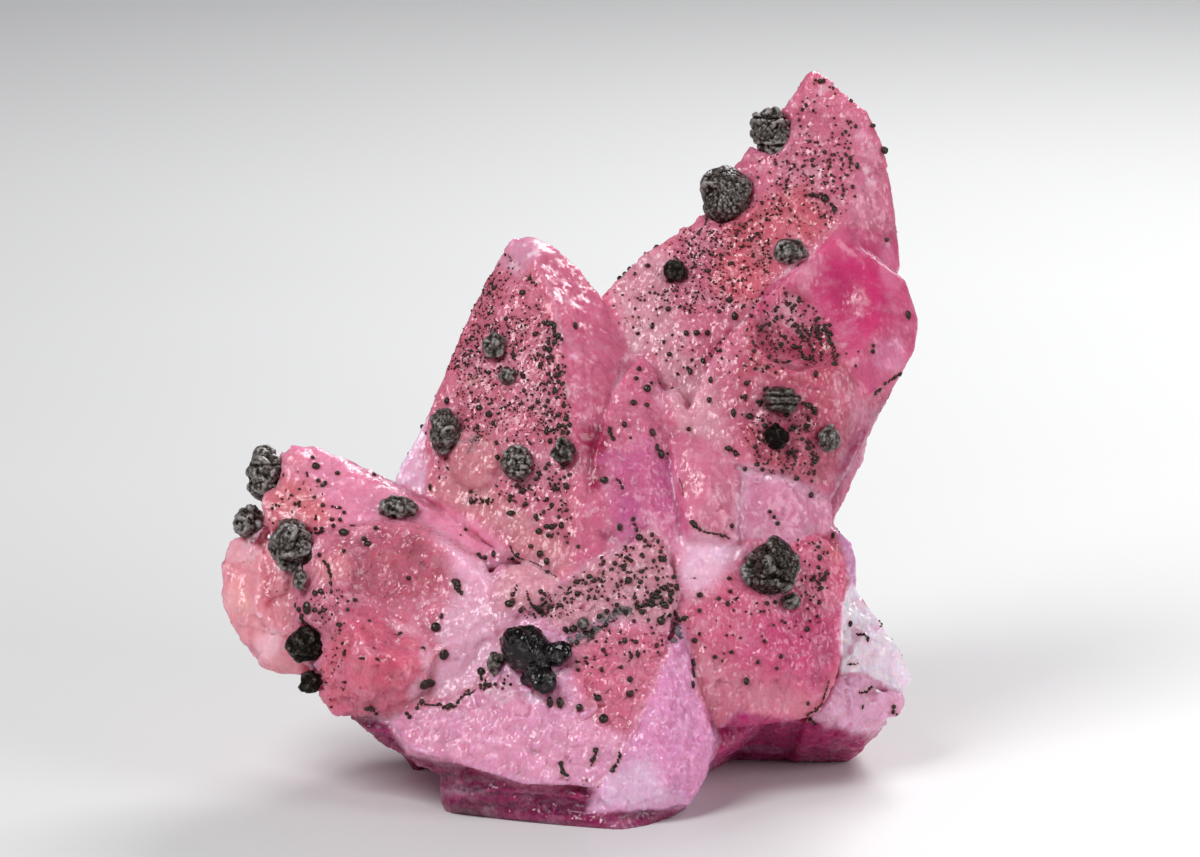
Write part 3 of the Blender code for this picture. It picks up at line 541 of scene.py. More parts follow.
def form_height(points, display):
    """The height of the ledges and domes at each point, in millimetres."""
    flat = wavering(points, display, 1.1, 0.14, SEEDS["form_waver"])
    height = np.zeros(len(points))
    for rise, reach, route in LEDGES:
        corners = np.array(route)
        low, high = corners.min(axis=0) - 3.0 * reach, corners.max(axis=0) + 3.0 * reach
        near = np.all((flat > low) & (flat < high), axis=1)
        gap, side, inside = along_route(route, flat[near])
        height[near] += rise * side * np.exp(-gap / reach) * inside * 0.5
    for across, rise, half_width, half_height, stand in DOMES:
        gap = ((flat[:, 0] - across) / half_width) ** 2 + ((flat[:, 1] - rise) / half_height) ** 2
        height += stand * np.sqrt(np.maximum(0.0, 1.0 - gap))
    return height


def inside_outline(outline, flat):
    """How far each (across, rise) point lies inside an outline, in millimetres, negative outside it."""
    outline = np.array(outline, float)
    low, high = outline.min(axis=0) - OUTLINE_MARGIN, outline.max(axis=0) + OUTLINE_MARGIN
    near = np.all((flat > low) & (flat < high), axis=1)
    points = flat[near]
    nearest = np.full(len(points), FAR_AWAY)
    within = np.zeros(len(points), bool)
    for start, end in zip(outline, np.roll(outline, -1, axis=0)):
        edge = end - start
        nearest = np.minimum(nearest, edge_gap(points, start, end)[0])
        crosses = (start[1] > points[:, 1]) != (end[1] > points[:, 1])
        rise = edge[1] if edge[1] else 1e-9
        within ^= crosses & (points[:, 0] < start[0] + edge[0] * (points[:, 1] - start[1]) / rise)
    result = np.full(len(flat), -FAR_AWAY)
    result[near] = np.where(within, nearest, -nearest)
    return result


def to_linear(color):
    """A colour as seen on a screen, 0 to 255, as linear light."""
    share = np.array(color, float) / 255.0
    return np.where(share <= 0.04045, share / 12.92, ((share + 0.055) / 1.055) ** 2.4)


# Meshes

def mesh_object(name, points_mm, faces, material, smooth=True):
    """An object of triangles or quads, from points in millimetres."""
    mesh = bpy.data.meshes.new(name)
    mesh.vertices.add(len(points_mm))
    mesh.vertices.foreach_set("co", (np.asarray(points_mm) * MM).astype(np.float32).ravel())
    faces = np.asarray(faces)
    corners = faces.shape[1]
    mesh.loops.add(faces.size)
    mesh.loops.foreach_set("vertex_index", faces.astype(np.int32).ravel())
    mesh.polygons.add(len(faces))
    mesh.polygons.foreach_set("loop_start", np.arange(0, faces.size, corners, dtype=np.int32))
    mesh.polygons.foreach_set("loop_total", np.full(len(faces), corners, dtype=np.int32))
    mesh.polygons.foreach_set("use_smooth", np.full(len(faces), smooth))
    mesh.update()
    mesh.validate()
    mesh.materials.append(material)
    thing = bpy.data.objects.new(name, mesh)
    bpy.context.scene.collection.objects.link(thing)
    return thing


def mesh_arrays(mesh):
    """A mesh's points, and its faces as triangles."""
    points = np.empty(len(mesh.vertices) * 3, np.float32)
    mesh.vertices.foreach_get("co", points)
    mesh.calc_loop_triangles()
    triangles = np.empty(len(mesh.loop_triangles) * 3, np.int32)
    mesh.loop_triangles.foreach_get("vertices", triangles)
    return points.reshape(-1, 3).astype(float), triangles.reshape(-1, 3)


def triangle_faces(points, triangles):
    """The middle of each triangle, and its normal, as long as twice its area."""
    a, b, c = (points[triangles[:, corner]] for corner in range(3))
    return (a + b + c) / 3, np.cross(b - a, c - a)


def point_normals(points, triangles):
    face = triangle_faces(points, triangles)[1]
    normals = np.zeros_like(points)
    for corner in range(3):
        np.add.at(normals, triangles[:, corner], face)
    return normals / np.maximum(np.linalg.norm(normals, axis=1), 1e-12)[:, None]


def face_tree(points, triangles):
    return BVHTree.FromPolygons(points.tolist(), triangles.tolist(), all_triangles=True)


def unit_ball(detail):
    """The points and triangles of a ball of radius one."""
    shape = bmesh.new()
    bmesh.ops.create_icosphere(shape, subdivisions=detail, radius=1.0)
    mesh = bpy.data.meshes.new("ball")
    shape.to_mesh(mesh)
    shape.free()
    points, triangles = mesh_arrays(mesh)
    bpy.data.meshes.remove(mesh)
    return points, triangles


def joined(pieces):
    """Several (points, triangles) as one."""
    points, triangles, count = [], [], 0
    for piece_points, piece_triangles in pieces:
        points.append(piece_points)
        triangles.append(piece_triangles + count)
        count += len(piece_points)
    return np.concatenate(points), np.concatenate(triangles)


def with_modifier(points, triangles, kind, **settings):
    """What a modifier makes of a mesh of points in millimetres, taken as whole units."""
    mesh = bpy.data.meshes.new("work")
    mesh.from_pydata(points.tolist(), [], triangles.tolist())
    thing = bpy.data.objects.new("work", mesh)
    bpy.context.scene.collection.objects.link(thing)
    modifier = thing.modifiers.new("work", kind)
    for setting, value in settings.items():
        setattr(modifier, setting, value)
    bpy.context.view_layer.update()
    made = bpy.data.meshes.new_from_object(thing.evaluated_get(bpy.context.evaluated_depsgraph_get()))
    result = mesh_arrays(made)
    bpy.data.objects.remove(thing)
    bpy.data.meshes.remove(mesh)
    bpy.data.meshes.remove(made)
    return result


# How far one round of smoothing moves a point towards the middle of its neighbours
SMOOTHING = 0.6


def smoothed(points, triangles, rounds, share=None):
    """The points after rounds of moving each towards the middle of its neighbours."""
    edges = np.concatenate([triangles[:, [0, 1]], triangles[:, [1, 2]], triangles[:, [2, 0]]])
    ends = np.concatenate([edges[:, 1], edges[:, 0]])
    starts = np.concatenate([edges[:, 0], edges[:, 1]])
    number = np.maximum(np.bincount(starts, minlength=len(points)), 1)
    for _ in range(rounds):
        sums = [np.bincount(starts, weights=points[ends, axis], minlength=len(points)) for axis in range(3)]
        move = (np.stack(sums, axis=-1) / number[:, None] - points) * SMOOTHING
        points = points + (move if share is None else move * share[:, None])
    return points


# The calcite

# The size of the even mesh's cells in millimetres, and how many triangles the finished calcite has
VOXEL = 0.20
CALCITE_TRIANGLES = 190000

NODULE_NODES = sorted(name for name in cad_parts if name.startswith("nodule_"))
# A socket's size: its share of the nodule's half size, and the gap beside that in millimetres
SOCKET_SHARE = 1.11
SOCKET_GAP = 0.35
# As shares of the socket: where the faces around it are looked for, and how far out they have to lie
SOCKET_AROUND = 1.6
SOCKET_RIM = 1.04
# The size of a plug as a share of its socket, and how far it stays under the faces, in millimetres
PLUG_SHARE = 1.12
PLUG_UNDER = 0.03

# Crevices of the CAD solid that the specimen hasn't got: across, rise and radius
CREVICES = [
    (-6.6, 19.6, 1.7), (-6.6, 17.9, 1.3), (-5.4, 21.2, 1.3), (-0.2, 21.2, 1.5), (0.2, 22.6, 0.9),
    (9.4, 18.2, 1.5), (9.3, 16.2, 1.3), (9.2, 20.0, 1.2), (9.0, 34.6, 1.4), (8.8, 36.0, 1.3),
    (9.6, 33.2, 1.0), (-5.4, 17.4, 1.3), (-6.8, 16.6, 1.0), (-5.0, 18.6, 1.2), (2.4, 3.3, 0.9),
    (3.1, 4.0, 0.9), (9.4, 16.4, 0.8), (-6.4, 22.6, 1.0), (-7.4, 23.2, 0.9), (-5.2, 22.8, 0.9),
]
# How many lines of sight measure the depth around a crevice, and how far out they are, in its radii
CREVICE_SIGHTS = 12
CREVICE_RING = 1.5
# How far behind those faces the middle of the ball lies, in radii
CREVICE_SINK = 0.8

# Places where the CAD's hard rims are softened away: across, rise, radius and rounds of smoothing
SOFT_PLACES = [(24.0, 47.3, 9.5, 24), (-15.5, 22.5, 6.0, 12), (6.4, 38.9, 3.0, 12), (-9.0, 25.8, 3.4, 16)]
# Faces deeper than this, in millimetres, aren't softened by them
SOFT_DEPTH = 30.0
# How far in front of the plane of the photograph a line of sight starts, in millimetres
SIGHT_START = 80.0


def node_middle_and_half(node):
    low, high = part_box(node)
    low, high = np.array(low) / MM, np.array(high) / MM
    return (low + high) / 2, (high - low) / 2


def socket_plug(node, tree, ball):
    """Fills the gap between a nodule and its socket, level with the face around it."""
    middle, half = node_middle_and_half(node)
    room = half * SOCKET_SHARE + SOCKET_GAP
    around = []
    for direction in ball[0]:
        spot, normal, _, _ = tree.find_nearest(Vector(middle + direction * room * SOCKET_AROUND))
        if np.linalg.norm((np.array(spot) - middle) / room) > SOCKET_RIM:
            around.append((spot, normal))
    base = np.mean([np.array(spot) for spot, normal in around], axis=0)
    outward = np.mean([np.array(normal) for spot, normal in around], axis=0)
    outward /= np.linalg.norm(outward)
    points = middle + ball[0] * room * PLUG_SHARE
    height = (points - base) @ outward
    return points - np.maximum(height + PLUG_UNDER, 0.0)[:, None] * outward, ball[1]


def sight(tree, across, rise):
    """Where the line of sight through a display point first meets the mesh, and the face's normal there."""
    aim = display_to_world([across, rise, PLANE_DEPTH])
    way = Vector(aim - EYE).normalized()
    spot, normal, _, _ = tree.ray_cast(Vector(EYE) + way * (CAMERA_DISTANCE - SIGHT_START), way)
    return spot, normal


def crevice_plug(crevice, tree, ball):
    """A ball that fills a narrow crevice, as deep as the faces around it."""
    across, rise, radius = crevice
    depths = []
    ring = CREVICE_RING * radius
    for turn in np.linspace(0.0, 2.0 * np.pi, CREVICE_SIGHTS, endpoint=False):
        spot = sight(tree, across + ring * np.cos(turn), rise + ring * np.sin(turn))[0]
        if spot:
            depths.append(world_to_display(np.array([spot]))[0, 2])
    depth = sorted(depths)[len(depths) // 2] + radius * CREVICE_SINK
    return display_to_world([across, rise, depth]) + ball[0] * radius, ball[1]


def soft_places(points, triangles):
    """Rounds the whole mesh a little, and the soft places more."""
    points = smoothed(points, triangles, 1)
    display = world_to_display(points)
    for across, rise, radius, rounds in SOFT_PLACES:
        gap = np.hypot(display[:, 0] - across, display[:, 1] - rise)
        share = smooth_step(radius, radius * 0.7, gap) * (display[:, 2] < SOFT_DEPTH)
        near = triangles[(share[triangles] > 0.0).any(axis=1)]
        points = smoothed(points, near, rounds, share)
    return points


def calcite_body():
    """The CAD cluster with its sockets and crevices filled, as one even mesh."""
    points, triangles = mesh_arrays(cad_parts["calcite_cluster"].data)
    points /= MM
    tree = face_tree(points, triangles)
    ball = unit_ball(3)
    plugs = [socket_plug(node, tree, ball) for node in NODULE_NODES]
    plugs += [crevice_plug(crevice, tree, ball) for crevice in CREVICES]
    points, triangles = joined([(points, triangles)] + plugs)
    points, triangles = with_modifier(points, triangles, "REMESH", mode="VOXEL", voxel_size=VOXEL)
    return soft_places(points, triangles), triangles


def area_weights(flat, facing):
    """For each area with a relief of its own, how much each point belongs to it."""
    weights = {}
    for name in RELIEF:
        if name:
            weights[name] = smooth_step(-0.3, 0.7, inside_outline(AREAS[name], flat)) * facing
    return weights


# Growth steps: how far apart, how they lean, how far they wander, and over what length
STEP_APART = 1.3
STEP_LEAN = 0.35
STEP_WANDER = 1.2
WANDER_LENGTH = 5.0
# The sizes of the broad and the finer waves, the grain and the fine facets, in millimetres
BROAD_WAVES = 6.5
FINER_WAVES = 3.1
GRAIN = 0.7
FINE_FACETS = 0.55
# How much of the relief's detail the sides and the back have
BACK_DETAIL = 0.45


def relief_height(points, display, facing):
    """How far the finished face stands out from the plain one, in millimetres."""
    flat = display[:, :2]
    levels = np.tile(np.array(RELIEF[""][:4]), (len(points), 1))
    facets = {RELIEF[""][4]: np.ones(len(points))}
    for name, weight in area_weights(flat, facing).items():
        levels += weight[:, None] * (np.array(RELIEF[name][:4]) - levels)
        for size in facets:
            facets[size] = facets[size] * (1.0 - weight)
        facets[RELIEF[name][4]] = facets.get(RELIEF[name][4], 0.0) + weight
    crust = np.zeros(len(points))
    for size, share in facets.items():
        some = share > 0.01
        crust[some] += share[some] * tilted_facets(points[some], size, SEEDS["facets"])
    wander = value_noise(points, WANDER_LENGTH, SEEDS["step_wander"])
    along = display[:, 1] + STEP_LEAN * display[:, 0] + STEP_WANDER * wander
    phase = along / STEP_APART
    steps = (phase - np.floor(phase)) - 0.5
    waves = value_noise(points, BROAD_WAVES, SEEDS["broad_waves"])
    waves += 0.5 * value_noise(points, FINER_WAVES, SEEDS["finer_waves"])
    grain = cloud_noise(points, GRAIN, SEEDS["grain"], 2)
    fine = tilted_facets(points, FINE_FACETS, SEEDS["fine_facets"])
    detail = levels[:, 1] * crust + levels[:, 2] * steps + levels[:, 3] * (grain + FINE_SHARE * fine)
    detail *= BACK_DETAIL + (1.0 - BACK_DETAIL) * facing
    return levels[:, 0] * waves + detail + form_height(points, display) * facing


def blend(colors, color, weight):
    """Moves the colours towards one colour, each by its own weight."""
    colors += weight[:, None] * (to_linear(color) - colors)


def calcite_tints(points, display, normals):
    """The colour of each point of the calcite, as linear light."""
    flat = wavering(points, display, 1.3, 0.22, SEEDS["tint_waver"])
    cloud = cloud_noise(points, PALE_CLOUDS, SEEDS["pale_clouds"])
    pale = smooth_step(-0.2, 0.9, cloud)[:, None]
    colors = to_linear(BACK_TINT) * (1.0 - pale) + to_linear(BACK_PALE_TINT) * pale
    # Darker towards the bottom: the base's own deep magenta with painted shade
    blend(colors, BASE_TINT_WITH_SHADE, smooth_step(5.0, 0.5, points[:, 2]))
    near = 0.5 * smooth_step(34.0, 24.0, display[:, 2])
    front = np.maximum(smooth_step(0.5, -0.1, normals @ FORWARD), near)
    for name, color, fade in TINTS:
        inside = inside_outline(AREAS[name], flat)
        blend(colors, color, smooth_step(-0.35 * fade, 0.65 * fade, inside) * front)
    for across, rise, half_width, half_height, turn, color in SPOTS:
        offset = flat - (across, rise)
        along = offset @ (cos(radians(turn)), sin(radians(turn)))
        over = offset @ (-sin(radians(turn)), cos(radians(turn)))
        gap = np.hypot(along / half_width, over / half_height)
        blend(colors, color, smooth_step(1.25, 0.65, gap) * front * SPOT_STRENGTH)
    banded = smooth_step(-0.2, 0.5, inside_outline(AREAS["dark_base"], flat)) * front
    bands = value_noise(display * BAND_STRETCH, BASE_BANDS, SEEDS["base_bands"])
    colors *= 1.0 + BAND_STRENGTH * (banded * bands)[:, None]
    blotch = 1.0 + BLOTCH_STRENGTH * cloud_noise(points, BLOTCHES, SEEDS["blotches"])[:, None]
    return np.clip(colors * blotch, 0.0, 1.0)


def build_calcite(material):
    points, triangles = calcite_body()
    normals = point_normals(points, triangles)
    display = world_to_display(points)
    facing = smooth_step(0.35, -0.15, normals @ FORWARD)
    height = relief_height(points, display, facing)
    height *= smooth_step(0.1, 1.2, points[:, 2])
    points = points + normals * height[:, None]
    points[:, 2] = np.maximum(points[:, 2], 0.0)
    share = min(1.0, CALCITE_TRIANGLES / len(triangles))
    points, triangles = with_modifier(points, triangles, "DECIMATE", ratio=share)
    piece = mesh_object("calcite_crystals", points, triangles, material)
    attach(piece, "root")
    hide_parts("calcite_cluster")
    return piece, points, triangles


def frosting(points, triangles):
    """How frosted each point of the calcite is, from 0 to 1."""
    display = world_to_display(points)
    front = smooth_step(0.5, -0.1, point_normals(points, triangles) @ FORWARD)
    frost = BACK_FROST + (1.0 - BACK_FROST) * front
    for name, share in FROST.items():
        inside = inside_outline(AREAS[name], display[:, :2])
        frost += smooth_step(-0.4, 0.8, inside) * front * (share - frost)
    return frost


def tint_calcite(piece, points, triangles, places):
    """Colours the calcite by area, with a brown stain in the face around each pellet."""
    colors = calcite_tints(points, world_to_display(points), point_normals(points, triangles))
    spots = KDTree(len(places))
    for n, (spot, _) in enumerate(places):
        spots.insert(Vector(spot), n)
    spots.balance()
    stain = np.zeros(len(points))
    for n, point in enumerate(points):
        for spot, index, distance in spots.find_range(Vector(point), STAIN_REACH):
            stain[n] += np.exp(-(max(distance - places[index][1], 0.0) / STAIN_WIDTH) ** 2)
    share = (1.0 - np.exp(-stain * STAIN_DEPTH))[:, None] * STAIN_STRENGTH
    colors += share * (colors * to_linear(STAIN_TINT) * STAIN_LIGHT - colors)
    tint = piece.data.color_attributes.new("tint", "FLOAT_COLOR", "POINT")
    colors = np.concatenate([colors, frosting(points, triangles)[:, None]], axis=1)
    tint.data.foreach_set("color", colors.astype(np.float32).ravel())


# Materials

def new_material(name):
    material = bpy.data.materials.new(name)
    material.use_nodes = True
    return material, material.node_tree


def feed(graph, socket, value):
    """Links a socket to another one, or sets its value."""
    if isinstance(value, bpy.types.NodeSocket):
        graph.links.new(value, socket)
    else:
        socket.default_value = value


def noise_node(graph, coordinates, size_mm, detail=3.0, roughness=0.55):
    node = graph.nodes.new("ShaderNodeTexNoise")
    node.inputs["Scale"].default_value = 1.0 / (size_mm * MM)
    node.inputs["Detail"].default_value = detail
    node.inputs["Roughness"].default_value = roughness
    graph.links.new(coordinates, node.inputs["Vector"])
    return node


def ramp_node(graph, value, stops):
    node = graph.nodes.new("ShaderNodeValToRGB")
    ramp = node.color_ramp
    while len(ramp.elements) < len(stops):
        ramp.elements.new(0.5)
    for element, (position, color) in zip(ramp.elements, stops):
        element.position = position
        element.color = color
    graph.links.new(value, node.inputs["Fac"])
    return node


def mix_node(graph, factor, first, second, blend="MIX"):
    node = graph.nodes.new("ShaderNodeMix")
    node.data_type = "RGBA"
    node.blend_type = blend
    feed(graph, node.inputs["Factor"], factor)
    feed(graph, node.inputs[6], first)
    feed(graph, node.inputs[7], second)
    return node.outputs[2]


def bump_node(graph, height, distance_mm, strength, normal=None):
    node = graph.nodes.new("ShaderNodeBump")
    feed(graph, node.inputs["Strength"], strength)
    node.inputs["Distance"].default_value = distance_mm * MM
    graph.links.new(height, node.inputs["Height"])
    if normal is not None:
        graph.links.new(normal, node.inputs["Normal"])
    return node.outputs["Normal"]


def gray(value):
    return (value, value, value, 1.0)


def vector_node(graph, operation, first, second):
    node = graph.nodes.new("ShaderNodeVectorMath")
    node.operation = operation
    feed(graph, node.inputs[0], first)
    feed(graph, node.inputs[1], second)
    return node.outputs


def facet_height(graph, coordinates, size_mm):
    """A height that makes each small cell a flat facet with a tilt of its own."""
    cells = graph.nodes.new("ShaderNodeTexVoronoi")
    cells.inputs["Scale"].default_value = 1.0 / (size_mm * MM)
    graph.links.new(coordinates, cells.inputs["Vector"])
    offset = vector_node(graph, "SUBTRACT", coordinates, cells.outputs["Position"])["Vector"]
    lean = vector_node(graph, "SUBTRACT", cells.outputs["Color"], (0.5, 0.5, 0.5))["Vector"]
    height = graph.nodes.new("ShaderNodeMath")
    height.operation = "MULTIPLY"
    height.inputs[1].default_value = 1.0 / (size_mm * MM)
    graph.links.new(vector_node(graph, "DOT_PRODUCT", offset, lean)["Value"], height.inputs[0])
    return height.outputs["Value"]


# Colours inside the calcite, as linear light: the veils, and what the streaks and the grain are darkened by
VEIL_TINT = (0.92, 0.62, 0.75, 1.0)
STREAK_TINT = (0.72, 0.44, 0.56, 1.0)
GRAIN_TINT = (0.80, 0.70, 0.74, 1.0)


def calcite_material():
    """Translucent pink calcite: tinted by area, veiled inside, finely frosted on its faces."""
    material, graph = new_material("calcite")
    shader = graph.nodes["Principled BSDF"]
    place = graph.nodes.new("ShaderNodeTexCoord").outputs["Object"]
    stretch = graph.nodes.new("ShaderNodeMapping")
    stretch.inputs["Rotation"].default_value = (0.0, radians(-14.0), 0.0)
    stretch.inputs["Scale"].default_value = (1.0, 1.0, 0.32)
    graph.links.new(place, stretch.inputs["Vector"])
    tint = graph.nodes.new("ShaderNodeAttribute")
    tint.attribute_name = "tint"
    veil = noise_node(graph, place, 2.4, 9.0, 0.70)
    veil_ramp = ramp_node(graph, veil.outputs["Fac"], [(0.50, gray(0.0)), (0.74, gray(0.34))])
    veiled = mix_node(graph, veil_ramp.outputs["Color"], tint.outputs["Color"], VEIL_TINT)
    streak = noise_node(graph, stretch.outputs["Vector"], 1.5, 7.0, 0.66)
    streak_ramp = ramp_node(graph, streak.outputs["Fac"], [(0.32, STREAK_TINT), (0.54, gray(1.0))])
    streaked = mix_node(graph, 0.36, veiled, streak_ramp.outputs["Color"], "MULTIPLY")
    grain = noise_node(graph, place, 0.34, 3.0, 0.6)
    grain_ramp = ramp_node(graph, grain.outputs["Fac"], [(0.30, GRAIN_TINT), (0.60, gray(1.0))])
    colored = mix_node(graph, 0.26, streaked, grain_ramp.outputs["Color"], "MULTIPLY")
    graph.links.new(colored, shader.inputs["Base Color"])
    polish = noise_node(graph, place, 1.1, 5.0)
    polish_ramp = ramp_node(graph, polish.outputs["Fac"], [(0.36, gray(0.15)), (0.64, gray(0.34))])
    graph.links.new(polish_ramp.outputs["Color"], shader.inputs["Roughness"])
    frost = tint.outputs["Alpha"]
    broad = bump_node(graph, facet_height(graph, place, 0.70), 0.26, frost)
    small = bump_node(graph, facet_height(graph, stretch.outputs["Vector"], 0.24), 0.16, frost, broad)
    rough = bump_node(graph, grain.outputs["Fac"], 0.03, 0.4, small)
    graph.links.new(rough, shader.inputs["Normal"])
    shader.inputs["IOR"].default_value = 1.55
    shader.inputs["Subsurface Weight"].default_value = 0.7
    shader.inputs["Subsurface Radius"].default_value = (1.0, 0.30, 0.48)
    shader.inputs["Subsurface Scale"].default_value = 2.4 * MM
    return material


def oxide_material(name, tones, rough_low, rough_high, grain_mm, bump_mm, shade_by_stand=False):
    """Dark oxide: finely granular, in tones by its grain; on the nodules also by how far out each point
    stands, as painted shade in the hollows and a painted highlight on the high spots.
    """
    material, graph = new_material(name)
    shader = graph.nodes["Principled BSDF"]
    place = graph.nodes.new("ShaderNodeTexCoord").outputs["Object"]
    grain = noise_node(graph, place, grain_mm, 5.0, 0.65)
    value = grain.outputs["Fac"]
    if shade_by_stand:
        # How far out each point stands: dark hollows as painted shade, light gray high spots as a painted
        # highlight
        stand = graph.nodes.new("ShaderNodeAttribute")
        stand.attribute_name = "stand"
        value = mix_node(graph, 0.62, value, stand.outputs["Color"])
        # The reflection is dimmed in the hollows: painted shade
        painted_reflection_shade = ramp_node(graph, value, [(0.36, gray(0.06)), (0.66, gray(0.80))])
        graph.links.new(painted_reflection_shade.outputs["Color"], shader.inputs["Specular IOR Level"])
    else:
        shader.inputs["Specular IOR Level"].default_value = 0.34
    color = ramp_node(graph, value, list(zip((0.36, 0.52, 0.80), tones)))
    graph.links.new(color.outputs["Color"], shader.inputs["Base Color"])
    rough = ramp_node(graph, grain.outputs["Fac"], [(0.35, gray(rough_low)), (0.65, gray(rough_high))])
    graph.links.new(rough.outputs["Color"], shader.inputs["Roughness"])
    normal = bump_node(graph, grain.outputs["Fac"], bump_mm, 0.6)
    graph.links.new(normal, shader.inputs["Normal"])
    return material


# The dark nodules

# How each nodule's face differs, in millimetres: height and size of its blocky facets, height and size of its
# lumps, and height of its grain
NODULE_FORMS = {
    "": (0.46, 1.3, 0.17, 0.33, 0.04),
    "nodule_front_glossy": (0.46, 2.1, 0.26, 0.62, 0.03),
    "nodule_tall_banded": (0.24, 1.7, 0.12, 0.36, 0.03),
    "nodule_right_big": (0.60, 1.9, 0.24, 0.32, 0.04),
    "nodule_centre_rough": (0.30, 1.0, 0.34, 0.36, 0.05),
    "nodule_centre_ridge": (0.60, 1.0, 0.22, 0.38, 0.04),
    "nodule_left_edge": (0.60, 1.0, 0.22, 0.38, 0.04),
    "nodule_tall_spiky": (0.60, 1.0, 0.28, 0.38, 0.04),
    "nodule_tall_tip": (0.50, 1.7, 0.24, 0.40, 0.04),
    "nodule_tall_edge": (0.46, 2.4, 0.22, 0.31, 0.04),
}
# Level clefts around a nodule: how far apart and how deep, in millimetres
CLEFTS = {
    "nodule_tall_tip": (2.4, 0.22),
    "nodule_tall_banded": (0.80, 0.15),
    "nodule_left_top": (1.5, 0.10),
}
# The blacker nodules: what their standing out is scaled by, which darkens them and dims the painted highlight
# on their high spots
BLACKER = {
    "nodule_tall_left": 0.5, "nodule_tall_banded": 0.85, "nodule_tall_spiky": 0.35, "nodule_left_low": 0.5,
    "nodule_left_low_tail": 0.5, "nodule_right_big": 0.75, "nodule_centre_ridge": 0.8,
}
CLEFT_WIDTH = 0.14
NODULE_VOXEL = 0.095
# Nodules less wide than this, in millimetres, have lower blocks and lumps
FULL_WIDTH = 3.2


def round_lumps(points, size, seed):
    """Heights from 0 to 1 of rounded lumps that crowd together."""
    _, near, number = cell_noise(points, size, seed)
    return np.sqrt(np.maximum(0.0, 1.0 - (near / size) ** 2)) * (0.7 + 0.3 * number)


def nodule_mesh(node, seed):
    """A lumpy nodule in the place of its CAD one, and how far out each of its points stands, from 0 to 1."""
    points, triangles = mesh_arrays(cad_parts[node].data)
    points, triangles = with_modifier(points / MM, triangles, "REMESH", mode="VOXEL", voxel_size=NODULE_VOXEL)
    points = smoothed(points, triangles, 12)
    normals = point_normals(points, triangles)
    facet, facet_size, lump, lump_size, grain = NODULE_FORMS.get(node, NODULE_FORMS[""])
    small = min(1.0, np.ptp(points, axis=0).min() / FULL_WIDTH)
    blocks = facet * small * tilted_facets(points, facet_size * small, SEEDS["nodule_blocks"] + seed)
    points = smoothed(points + normals * blocks[:, None], triangles, 8)
    normals = point_normals(points, triangles)
    lumps = round_lumps(points, lump_size, SEEDS["nodule_lumps"] + seed)
    lumps += 0.45 * round_lumps(points, lump_size * 0.5, SEEDS["nodule_small_lumps"] + seed) - 0.7
    height = lump * lumps * (0.6 + 0.4 * small)
    height += grain * cloud_noise(points, 0.3, SEEDS["nodule_grain"] + seed, 2)
    if node in CLEFTS:
        apart, deep = CLEFTS[node]
        rise = world_to_display(points)[:, 1]
        rise += 0.12 * value_noise(points, 0.6, SEEDS["nodule_clefts"] + seed)
        from_cleft = (rise - rise.mean() + 0.5 * apart) / apart
        height -= deep * np.exp(-((from_cleft - np.round(from_cleft)) * apart / CLEFT_WIDTH) ** 2)
    points = points + normals * height[:, None]
    # How far out each point stands, which the oxide turns into painted shade in the hollows and a painted
    # highlight on the high spots
    hollow = points - smoothed(points, triangles, 6)
    stand = np.clip(0.5 + (hollow * normals).sum(axis=1) / 0.14, 0.0, 1.0) * BLACKER.get(node, 1.0)
    return points, triangles, stand


def build_nodules(matte, glossy):
    for seed, node in enumerate(NODULE_NODES):
        shiny = node == "nodule_front_glossy"
        points, triangles, stand = nodule_mesh(node, seed)
        piece = mesh_object(node.replace("nodule_", "lump_"), points, triangles, glossy if shiny else matte)
        give_shade(piece, stand)
        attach(piece, "root")
        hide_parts(node)


def give_shade(piece, values):
    """Keeps a number from 0 to 1 at each point, for the material to read as painted shade in the hollows and
    a painted highlight on the high spots.
    """
    shade = piece.data.color_attributes.new("stand", "FLOAT_COLOR", "POINT")
    shade.data.foreach_set("color", np.repeat(values, 4).astype(np.float32))


# The pellets, specks and veins of the same oxide

